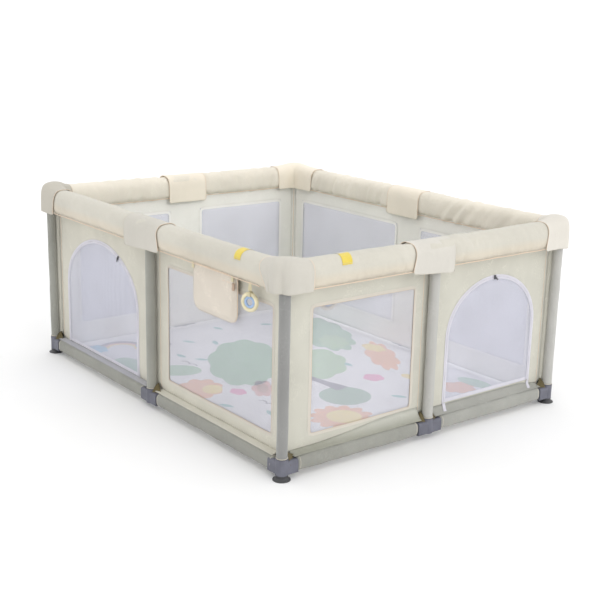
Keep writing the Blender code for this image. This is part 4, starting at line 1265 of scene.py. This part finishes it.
def make_straps():
    """A band over the rail with a yellow end, and a pale tail with a loop that holds the ring."""
    for side, (u, half, (first, last), head_z, twist) in PULLS.items():
        matrix = side_matrix(side)
        inverse = matrix.inverted()
        graph = bpy.context.evaluated_depsgraph_get()
        pad = bpy.data.objects[f"rail_padding_{side}"].evaluated_get(graph)
        centre = Vector((u, 0.0, RAIL_CENTRE))
        tab_rows, drift = TABS[side]
        rows = []
        for number, angle in enumerate(math.radians(a) for a in range(first, last, BAND_STEP)):
            row = []
            for column in BAND_COLUMNS:
                shift = drift * min(1.0, number / tab_rows) + half * column
                outside = Vector((shift, 0.12 * math.sin(angle), 0.12 * math.cos(angle)))
                goal = matrix @ (centre + Vector((shift, 0.0, 0.0)))
                start = matrix @ (centre + outside)
                way = (goal - start).normalized()
                hit, place, _, _ = pad.ray_cast(start, way)
                row.append(inverse @ (place - way * BAND_RAISE if hit else goal - way * 0.04))
            rows.append(row)
        parts = {"tab": (rows[:tab_rows], YELLOW), "band": (rows[tab_rows - 1:], CREAM)}
        for name, (some, material) in parts.items():
            verts, faces = surface(len(some), len(BAND_COLUMNS), lambda i, j: some[i][j])
            band = add(f"strap_{name}_{side}", verts, faces, material, "yellow_webbing", matrix=matrix)
            thicken(band, BAND_THICKNESS[name])
            soften(band)
        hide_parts(f"pull_strap_{side}")
        stitches = [tube([p + (p - centre).normalized() * 0.001 for p in row], 0.0004) for row in rows[:2]]
        add(f"strap_stitch_{side}", *together(stitches), PALE_YELLOW, "yellow_webbing", matrix=matrix)
        make_tail(side, head_z, twist, matrix)


def make_tail(side, head_z, twist, matrix):
    """The narrow strap from the rail, turned so that its loop holds the ring."""
    foot = matrix.inverted() @ middle(f"pull_ring_{side}")
    foot.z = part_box(f"pull_ring_{side}")[1].z - RING_MINOR
    across = Vector((math.cos(twist), math.sin(twist), 0.0))
    normal = Vector((-math.sin(twist), math.cos(twist), 0.0))
    line = []
    for t in (i / 10 for i in range(11)):
        point = Vector((foot.x, foot.y, head_z + (foot.z + LOOP - head_z) * t))
        line.append((point, Vector((1.0, 0.0, 0.0)).lerp(across, smooth(0.0, 0.8, t)).normalized()))
    for c, s in circle(13)[1:]:
        line.append((foot + Vector((0.0, 0.0, LOOP * c)) + normal * LOOP * s, across))
    verts, faces = surface(len(line), 3, lambda i, j: line[i][0] + line[i][1] * (TAIL_HALF * (j - 1)))
    tail = add(f"strap_tail_{side}", verts, faces, PALE_YELLOW, "yellow_webbing", matrix=matrix)
    thicken(tail, TAIL_THICKNESS)
    soften(tail)


def make_rings():
    """A yellow hoop with a pale blue grip inside it, hanging in the strap's loop."""
    for side, (*_, twist) in PULLS.items():
        low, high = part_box(f"pull_ring_{side}")
        centre = (low + high) / 2
        turn = SIDES[side][0] + twist
        across = Vector((math.cos(turn), math.sin(turn), 0.0))
        hoop = ((high.z - low.z) / 2 - RING_MINOR, RING_MINOR)
        for name, (big, small), material in (("hoop", hoop, RING_YELLOW), ("grip", GRIP, RING_BLUE)):
            points = [centre + across * (big * c) + Vector((0.0, 0.0, big * s)) for c, s in circle(64)]
            ring = add(f"ring_{name}_{side}", *tube(points, small, 16, closed=True), material,
                       "ring_plastic", f"ring_{side}")
            if name == "hoop":
                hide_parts(f"pull_ring_{side}")


BAG_CLOTH_HALF = 0.0009
BAG_COLUMNS, BAG_ROWS = 44, 30
BAG_ROUND = 0.034  # of its lower corners
BAG_PANEL_IN = 0.0022  # from the bag's faces to its panels
BAG_SEAM = 0.022  # from the edge, where the two panels start to come together
BAG_PIPING = 0.0016
BAG_BANDS = ((0.0020, 0.0017), (0.026, 0.0009))  # below the top, and radius
BAG_LOOP = (0.006, 0.012)  # half width of a hanging loop, and its place in from the bag's side
CLIP_RINGS = ((-0.046, 0.0050), (-0.042, 0.0072), (-0.034, 0.0060), (-0.028, 0.0072), (-0.024, 0.0050))


def make_bag():
    """A soft pouch: two panels that meet round the edge, gaping a little at the top."""
    matrix = side_matrix("front")
    a, b = (matrix.inverted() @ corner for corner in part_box("storage_bag"))
    u0, u1, w0, w1, z0, z1 = a.x, b.x, a.y, b.y, a.z, b.z
    panels = []
    for depth, sign in ((w0 + BAG_PANEL_IN, 1), (w1 - BAG_PANEL_IN, -1)):
        def point(i, j):
            z = z1 + (z0 - z1) * i / BAG_ROWS
            above = z - z0
            gap = max(BAG_ROUND - above, 0.0)
            inset = BAG_ROUND - math.sqrt(max(BAG_ROUND ** 2 - gap ** 2, 0.0))
            reach = (u1 - u0) / 2 - inset
            s = 2 * j / BAG_COLUMNS - 1
            u = (u0 + u1) / 2 + reach * s
            edge = min((1 - abs(s)) * reach, above)
            pinch = smooth(BAG_SEAM, 0.0, edge) * (w1 - w0 - 2 * BAG_PANEL_IN) / 2
            belly = 0.0016 * wobble(u * 22, z * 22, depth * 50)
            gathers = 0.0011 * smooth(z1 - 0.035, z1, z) * math.sin(u * 260)
            w = depth + sign * (pinch - 0.0008) + belly * (1 - smooth(0.03, 0.0, edge)) + gathers
            return u, min(max(w, w0 + BAG_CLOTH_HALF), w1 - BAG_CLOTH_HALF), z

        panels.append(surface(BAG_ROWS + 1, BAG_COLUMNS + 1, point))
    bag = add("bag_cloth", *together(panels), BAG, "bag_fabric", "bag", matrix)
    thicken(bag, 2 * BAG_CLOTH_HALF)
    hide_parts("storage_bag")
    grid = np.array(panels[0][0]).reshape(BAG_ROWS + 1, BAG_COLUMNS + 1, 3)
    outline = [*grid[:, 0], *grid[-1, 1:-1], *grid[::-1, -1]]
    piping = tube([(u, (w0 + w1) / 2, z) for u, _, z in outline], BAG_PIPING)
    trims = [add("bag_piping", *piping, PEACH, "bag_fabric", "bag", matrix)]
    bands = [tube([(u, w, z1 - below) for u, w, _ in panel[0][:BAG_COLUMNS + 1]], radius)
             for panel in panels for below, radius in BAG_BANDS]
    trims.append(add("bag_bands", *together(bands), PEACH, "bag_fabric", "bag", matrix))
    make_bag_hangers(matrix, u0, u1, w0, z1)


def make_bag_hangers(matrix, u0, u1, w0, z1):
    """Short webbing loops on the bag, and a small side-release clip."""
    loops = []
    half, inset = BAG_LOOP
    for u in (u0 + inset, u1 - inset):
        line_a, line_b = ([(u + way * half, z1 - 0.020), (u + way * half, z1 + 0.002)] for way in (-1, 1))
        loops.append(ribbon(line_a, line_b, w0 - 0.0006, w0 + 0.0004))
    add("bag_loops", *together(loops), PALE_YELLOW, "bag_fabric", "bag", matrix, rounded=False)
    rings = [[(u1 - 0.007 + half * boxed(c, SOFT_BOX), w0 - 0.0002 + 0.0016 * s, z1 + z)
              for c, s in circle(14)] for z, half in CLIP_RINGS]
    add("bag_clip", *loft(rings), CLIP, "base_plastic", "bag", matrix)


# ---------------------------------------------------------------- mat and its print
PRINT_STEP = 0.0003  # from one layer of ink up to the next
MAT_PRINT_ROOM = 0.0012  # from the white sheet up to the top of the CAD mat, for the inks
MAT_ROUND = 0.030
MAT_PITCH = 0.045


def turned(x, y, across, up, turn):
    """A point near (x, y), turned about it."""
    c, s = math.cos(turn), math.sin(turn)
    return x + across * c - up * s, y + across * s + up * c


def scalloped(x, y, half_x, half_y, lobes, depth, turn=0.0, steps=10):
    """A cloud, tree crown or flower outline: an ellipse with rounded lobes."""
    points = []
    for i in range(lobes * steps):
        angle = 2 * math.pi * i / (lobes * steps)
        size = 1.0 + depth * (abs(math.sin(angle * lobes / 2)) - 0.6)
        points.append(turned(x, y, half_x * size * math.cos(angle), half_y * size * math.sin(angle), turn))
    return points


def ellipse(x, y, half_x, half_y, turn=0.0):
    """A plain oval."""
    return scalloped(x, y, half_x, half_y, 40, 0.0, turn, 1)


def leaf(x, y, length, width, turn):
    """A pointed oval."""
    path = [(i / 10, 1) for i in range(10)] + [(1 - i / 10, -1) for i in range(10)]
    return [turned(x, y, length * (t - 0.5), sign * width * math.sin(math.pi * t), turn)
            for t, sign in path]


def bow(x, y, radius, width, start, end, turn=0.0, steps=24):
    """A curved stripe, part of a ring."""
    outer = [(radius + width / 2, start + (end - start) * i / steps) for i in range(steps + 1)]
    inner = [(radius - width / 2, a) for _, a in outer[::-1]]
    return [(x + r * math.cos(a + turn), y + r * math.sin(a + turn)) for r, a in outer + inner]


def trunk(x0, y0, x1, y1, wide, narrow):
    """A tapered, slightly waisted tree trunk."""
    start, end = Vector((x0, y0)), Vector((x1, y1))
    way = (end - start).normalized()
    normal = Vector((-way.y, way.x))
    points = []
    for sign in (1, -1):
        for i in range(9):
            t = i / 8 if sign > 0 else 1 - i / 8
            half = wide + (narrow - wide) * (smooth(0.0, 0.45, t) - 0.4 * smooth(0.8, 1.0, t))
            points.append(tuple(start.lerp(end, t) + normal * sign * half))
    return points


INKS = {
    "green": tint(140, 190, 150), "light_green": tint(160, 202, 150), "deep_green": tint(124, 168, 136),
    "orange": tint(242, 172, 118), "yellow": tint(248, 222, 116), "pink": tint(236, 132, 184),
    "blue": tint(112, 196, 230), "slate": tint(104, 100, 118), "teal": tint(108, 184, 182),
    "brown": tint(186, 138, 112), "rose": tint(226, 168, 158),
}


def mat_print():
    """The mat's picture, a plain landscape seen from above: (ink, layer, outline)."""
    shapes = []

    def ink(name, layer, outline):
        shapes.append((name, layer, outline))

    # a big two-part tree in the middle, with its trunk and the bush beside it
    ink("green", 1, scalloped(-0.19, -0.06, 0.27, 0.135, 9, 0.10, -0.60))
    ink("light_green", 2, scalloped(-0.03, 0.14, 0.18, 0.125, 8, 0.12, -0.68))
    ink("slate", 3, trunk(0.25, 0.05, 0.04, 0.02, 0.028, 0.015))
    ink("deep_green", 1, ellipse(0.31, 0.01, 0.090, 0.090, -0.66))
    # trees along the back
    ink("green", 1, scalloped(-0.32, 0.42, 0.24, 0.105, 11, 0.14, -0.35))
    ink("light_green", 2, scalloped(-0.20, 0.38, 0.09, 0.055, 8, 0.22, -0.5))
    # a sun flower near the front
    ink("orange", 1, scalloped(0.46, -0.13, 0.100, 0.100, 12, 0.24))
    ink("yellow", 2, ellipse(0.46, -0.12, 0.058, 0.058))
    # warm bushes
    ink("orange", 1, scalloped(0.04, 0.42, 0.17, 0.055, 9, 0.22, -0.5))
    ink("yellow", 2, scalloped(-0.05, 0.46, 0.055, 0.035, 6, 0.20))
    ink("orange", 1, scalloped(0.47, 0.40, 0.055, 0.060, 7, 0.22))
    ink("green", 2, ellipse(0.47, 0.485, 0.075, 0.034, 0.1))
    ink("orange", 1, scalloped(-0.03, -0.36, 0.095, 0.075, 8, 0.22, -0.6))
    ink("yellow", 2, ellipse(0.00, -0.33, 0.045, 0.035, -0.6))
    ink("rose", 1, scalloped(0.09, -0.18, 0.080, 0.036, 6, 0.22, -0.6))
    ink("brown", 2, ellipse(0.09, -0.18, 0.045, 0.020, -0.6))
    # ovals and hills
    ink("pink", 1, scalloped(0.22, 0.22, 0.038, 0.036, 5, 0.18))
    ink("pink", 1, scalloped(0.07, -0.27, 0.034, 0.026, 5, 0.18))
    ink("green", 1, ellipse(-0.24, -0.32, 0.060, 0.085, -0.6))
    ink("green", 1, ellipse(-0.37, -0.455, 0.120, 0.060, -0.35))
    ink("yellow", 1, ellipse(0.30, 0.34, 0.050, 0.024, 0.2))
    # a rainbow with two clouds
    for name, radius, width in (("slate", 0.082, 0.018), ("rose", 0.066, 0.013), ("yellow", 0.054, 0.011)):
        ink(name, 1, bow(-0.588, -0.36, radius, width, math.radians(50), math.radians(240)))
    ink("blue", 2, scalloped(-0.540, -0.283, 0.052, 0.030, 6, 0.24))
    ink("blue", 2, scalloped(-0.630, -0.436, 0.046, 0.030, 6, 0.24))
    # scattered leaves and birds
    for x, y, turn in ((-0.61, 0.10, 0.2), (-0.45, -0.02, -0.3), (-0.52, -0.10, 0.5), (-0.38, -0.22, 0.1),
                       (0.16, -0.38, 0.4), (0.30, -0.30, -0.2), (0.42, 0.16, 0.6), (0.56, 0.06, -0.4),
                       (-0.55, 0.30, 0.9), (0.05, 0.24, 0.1), (-0.30, -0.18, 0.7), (0.24, -0.17, 0.0)):
        ink("teal", 1, leaf(x, y, 0.058, 0.011, turn))
    for x, y, turn in ((-0.30, -0.26, 0.3), (0.20, -0.27, 0.2), (0.37, 0.27, 0.4), (-0.58, -0.20, 0.1)):
        ink("slate", 1, bow(x, y, 0.022, 0.005, 0.3, 2.6, turn))
        ink("slate", 1, bow(x + 0.040, y + 0.006, 0.022, 0.005, 0.5, 2.8, turn))
    return shapes


def slab(outline, low, high, pitch=0.25):
    """A thin upright prism on a plan outline, filled by triangles."""
    flat, triangles = cut_cloth(outline, [], pitch)
    count = len(flat)
    verts = [(x, y, z) for z in (low, high) for x, y in flat]
    faces = [t[::-1] for t in triangles] + [tuple(count + i for i in t) for t in triangles]
    edges = {edge: None for a, b, c in triangles for edge in ((a, b), (b, c), (c, a))}
    faces += [(a, b, count + b, count + a) for a, b in edges if (b, a) not in edges]
    return verts, faces


def make_mat():
    """The white foam sheet with a bound edge, and each ink's shapes on it as one piece."""
    low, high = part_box("play_mat")
    end_x, end_y = high.x - 0.001, high.y - 0.001
    outline = rectangle(-end_x, end_x, -end_y, end_y, MAT_ROUND)
    surface_z = MAT_TOP - MAT_PRINT_ROOM
    mat = add("mat_sheet", *slab(outline, low.z, surface_z, MAT_PITCH),
              printed("mat_white", tint(238, 238, 243)), "mat_foam", rounded=False)
    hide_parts("play_mat")
    rim = [(x, y, MAT_TOP - 0.0045) for x, y in spread(outline, 0.03)]
    add("mat_edge", *tube(rim, 0.0032, 8, closed=True), IVORY, "mat_foam")
    parts = {}
    for ink, layer, shape in mat_print():
        part = slab(shape, MAT_TOP - 0.0020, surface_z + PRINT_STEP * layer)
        parts.setdefault(ink, []).append(part)
    for ink, shapes in parts.items():
        add(f"mat_print_{ink}", *together(shapes), printed(f"ink_{ink}", INKS[ink]), "mat_foam",
            rounded=False)


# ---------------------------------------------------------------- cloth near the feet and corners
THIN_CLOTH = 0.0009
SHADOW_SHEET_CLOTH = 0.0008
SHADOW_SHEET_STEPS = 6
# On the wall over the socket, at the socket's outer edge, and the tip on the arm
SHADOW_SHEET_CORNERS = ((0.0175, WALL_FACE - 0.0016, 0.084), (0.0190, -0.0165, 0.044), (0.0480, 0.0060, 0.0645))
BARE_ARMS = (("front", 0, -1), ("front", 1, -1))  # connector arms under a pulled-over sleeve


def make_foot_shadows():
    """Dark triangles that slope from the wall over the arms of each base connector: painted shadow where
    the gap by the socket is dark.
    """
    for side in SIDES:
        parts = []
        for corner, way in ((-1, 1), (0, -1), (0, 1), (1, -1)):
            if (side, corner, way) in BARE_ARMS:
                continue
            middle_u = corner * SIDES[side][1]
            top, foot, tip = (Vector((middle_u + way * u, w, z)) for u, w, z in SHADOW_SHEET_CORNERS)

            def point(i, j):
                edge = top.lerp(foot, i / SHADOW_SHEET_STEPS)
                edge.z += 0.010 * math.sin(math.pi * i / SHADOW_SHEET_STEPS)
                place = edge.lerp(tip, 0.98 * j / SHADOW_SHEET_STEPS)
                place.z -= 0.004 * math.sin(math.pi * j / SHADOW_SHEET_STEPS)
                return place

            parts.append(surface(SHADOW_SHEET_STEPS + 1, SHADOW_SHEET_STEPS + 1, point))
        shadow_sheets = add(f"foot_shadow_sheets_{side}", *together(parts), SHADOW_CLOTH, "rail_fabric",
                      matrix=side_matrix(side))
        thicken(shadow_sheets, SHADOW_SHEET_CLOTH)


# The laps wear lit and shaded copies of the cloths, and the right bay under the window darkens towards the
# rail: painted light and shade.
LAPS = {  # side: bays as (start, end, cloth, height where it meets the wall)
    "front": ((-0.680, -0.030, LILAC, lambda u: 0.0627), (0.030, 0.680, LIT_FRONT_WALL, lambda u: 0.065)),
    "right": ((-0.530, -0.030, SHADED, lambda u: 0.070 + 0.028 * smooth(-0.48, -0.08, u)),
              (0.030, 0.530, LIT_RAIL_GREY, lambda u: 0.0845 - 0.012 * smooth(0.44, 0.53, u))),
    "back": ((-0.680, -0.030, FAR_LIT_WALL, lambda u: 0.080), (0.030, 0.680, FAR_LIT_WALL, lambda u: 0.080)),
    "left": ((-0.530, -0.030, FAR_LIT_WALL, lambda u: 0.080), (0.030, 0.530, FAR_LIT_WALL, lambda u: 0.080)),
}
LAP_REACH = 0.006  # how far out over the rail a lap starts
LAP_COLUMNS, LAP_ROWS = 81, 6
TAIL_DRIFT = -0.012  # along the side, at the tail's far end
TAIL_SHARES = (0.92, 0.84, 0.76, 0.68, 0.60, 0.52, 0.44, 0.36)
TAIL_RAISE = 0.0014  # over the lap


def lap_point(side, u, share, high, above=0.0):
    """A point of a lap; share runs from the rail's top, 0, to the wall, 1."""
    w = -LAP_REACH + (WALL_MIDDLE - 0.0009 + sway(side, u, high) + LAP_REACH) * share
    z = RAIL_HIGH - 0.0004 + (high - RAIL_HIGH + 0.0004) * share ** 1.6
    w += 0.0006 * wobble(u * 24, 3 * share, 9) - above
    z += 0.0005 * wobble(u * 18, share) + 0.4 * above
    return u, w, z


def make_laps():
    """The cloth that leads from the wall down over the top of each bottom rail."""
    for side, bays in LAPS.items():
        for number, (start, end, material, top) in enumerate(bays, 1):
            def point(i, j):
                u = start + (end - start) * i / (LAP_COLUMNS - 1)
                return lap_point(side, u, j / (LAP_ROWS - 1), top(u))

            lap = add(f"wall_lap_{side}_{number}", *surface(LAP_COLUMNS, LAP_ROWS, point), material,
                      "rail_fabric", matrix=side_matrix(side))
            thicken(lap, THIN_CLOTH)


def make_zip_tails():
    """Where the zip tape of the right door runs on down over the lap."""
    centre, half = DOORS["right"][:2]
    lap_top = LAPS["right"][1][3]
    parts = []
    for edge in (centre - half, centre + half):
        def point(i, j):
            across = TAPE_WIDTH * (j - 1)
            if i == 0:
                return edge + across, WALL_FACE - 0.0010, DOOR_SILLS["right"] - 0.0006
            share = TAIL_SHARES[i - 1]
            u = edge + across + TAIL_DRIFT * (1.0 - share)
            return lap_point("right", u, share, lap_top(edge), TAIL_RAISE)

        parts.append(surface(len(TAIL_SHARES) + 1, 3, point))
    tails = add("zip_tails_right", *together(parts), ZIP_TAPE, "wall_fabric", matrix=side_matrix("right"))
    thicken(tails, THIN_CLOTH)


WEB_ROWS = 41
WEB_START = 0.0110  # of a web, from the axis of its post
FILLET = 0.009  # radius of the rounded corner inside the walls


def make_corner_webs():
    """Strips that join the walls' corners to the corner posts, and a rounded corner inside."""
    for name, turn in CORNER_TURNS.items():
        matrix = corner_matrix(name)

        def web_point(i, j):
            z = SOCKET_TOP + 0.012 + (PAD_BOTTOM - SOCKET_TOP - 0.014) * i / (WEB_ROWS - 1)
            share = j / 2
            bend = 0.0012 * wobble(z * 12, turn) * (1 - share)
            place = WEB_START + (WALL_MIDDLE + 0.0008 - WEB_START) * share
            return place + bend, place - bend, z

        web = add(f"corner_web_{name}", *surface(WEB_ROWS, 3, web_point), WALL, "wall_fabric",
                  matrix=matrix)
        thicken(web, THIN_CLOTH)
        centre = WALL_BACK + 0.0014 + FILLET
        rise = PAD_BOTTOM + 0.004 - RAIL_HIGH
        heights = [RAIL_HIGH + rise * i / (WEB_ROWS - 1) for i in range(WEB_ROWS)]

        def fillet_point(i, j):
            angle = math.pi * (1.0 + 0.5 * j / 6)
            return centre + FILLET * math.cos(angle), centre + FILLET * math.sin(angle), heights[i]

        fillet = add(f"corner_fillet_{name}", *surface(WEB_ROWS, 7, fillet_point), FAR_LIT_WALL, "wall_fabric",
                     matrix=matrix)
        thicken(fillet, THIN_CLOTH)
        cord = [(centre - 0.6 * FILLET, centre - 0.6 * FILLET, z) for z in heights]
        add(f"corner_cord_{name}", *tube(cord, 0.0009), PEACH, "wall_fabric", matrix=matrix)


# ---------------------------------------------------------------- stage and light
FLOOR_HALF = 40.0
FLOOR_DROP = 0.0005
SKY_STRENGTH = 1.12
SUN_STRENGTH = 0.6
SUN_WAY = (0.95, 0.10, 0.42)


def make_stage():
    """A white floor, an even white sky and a soft sun from the right."""
    scene = bpy.context.scene
    scene.view_settings.view_transform = "Standard"
    mesh = bpy.data.meshes.new("floor")
    corners = [(x, y, -FLOOR_DROP) for x, y in rectangle(-FLOOR_HALF, FLOOR_HALF, -FLOOR_HALF, FLOOR_HALF)]
    mesh.from_pydata(corners, [], [(0, 1, 2, 3)])
    floor = bpy.data.objects.new("floor", mesh)
    scene.collection.objects.link(floor)
    n = Nodes("floor", 0.9)
    n.set("Base Color", n.mix(n.clouds(3.0), (0.93, 0.93, 0.93, 1.0), (0.96, 0.96, 0.96, 1.0)))
    mesh.materials.append(n.material)
    scene.world = bpy.data.worlds.new("studio")
    scene.world.use_nodes = True
    background = scene.world.node_tree.nodes["Background"]
    background.inputs["Color"].default_value = (1.0, 1.0, 1.0, 1.0)
    background.inputs["Strength"].default_value = SKY_STRENGTH
    sun = bpy.data.lights.new("key", "SUN")
    sun.energy = SUN_STRENGTH
    sun.angle = math.radians(35)
    key = bpy.data.objects.new("key", sun)
    scene.collection.objects.link(key)
    key.rotation_mode = "QUATERNION"
    key.rotation_quaternion = Vector(SUN_WAY).to_track_quat("Z", "Y")


for make in (make_stage, finish_cad_nodes, make_sleeves, make_pads, make_mid_caps, make_corner_caps,
             make_walls, make_nets, make_doors, make_bottom_rails, make_foot_shadows, make_laps,
             make_zip_tails, make_corner_webs, make_straps, make_rings, make_bag, make_mat):
    make()
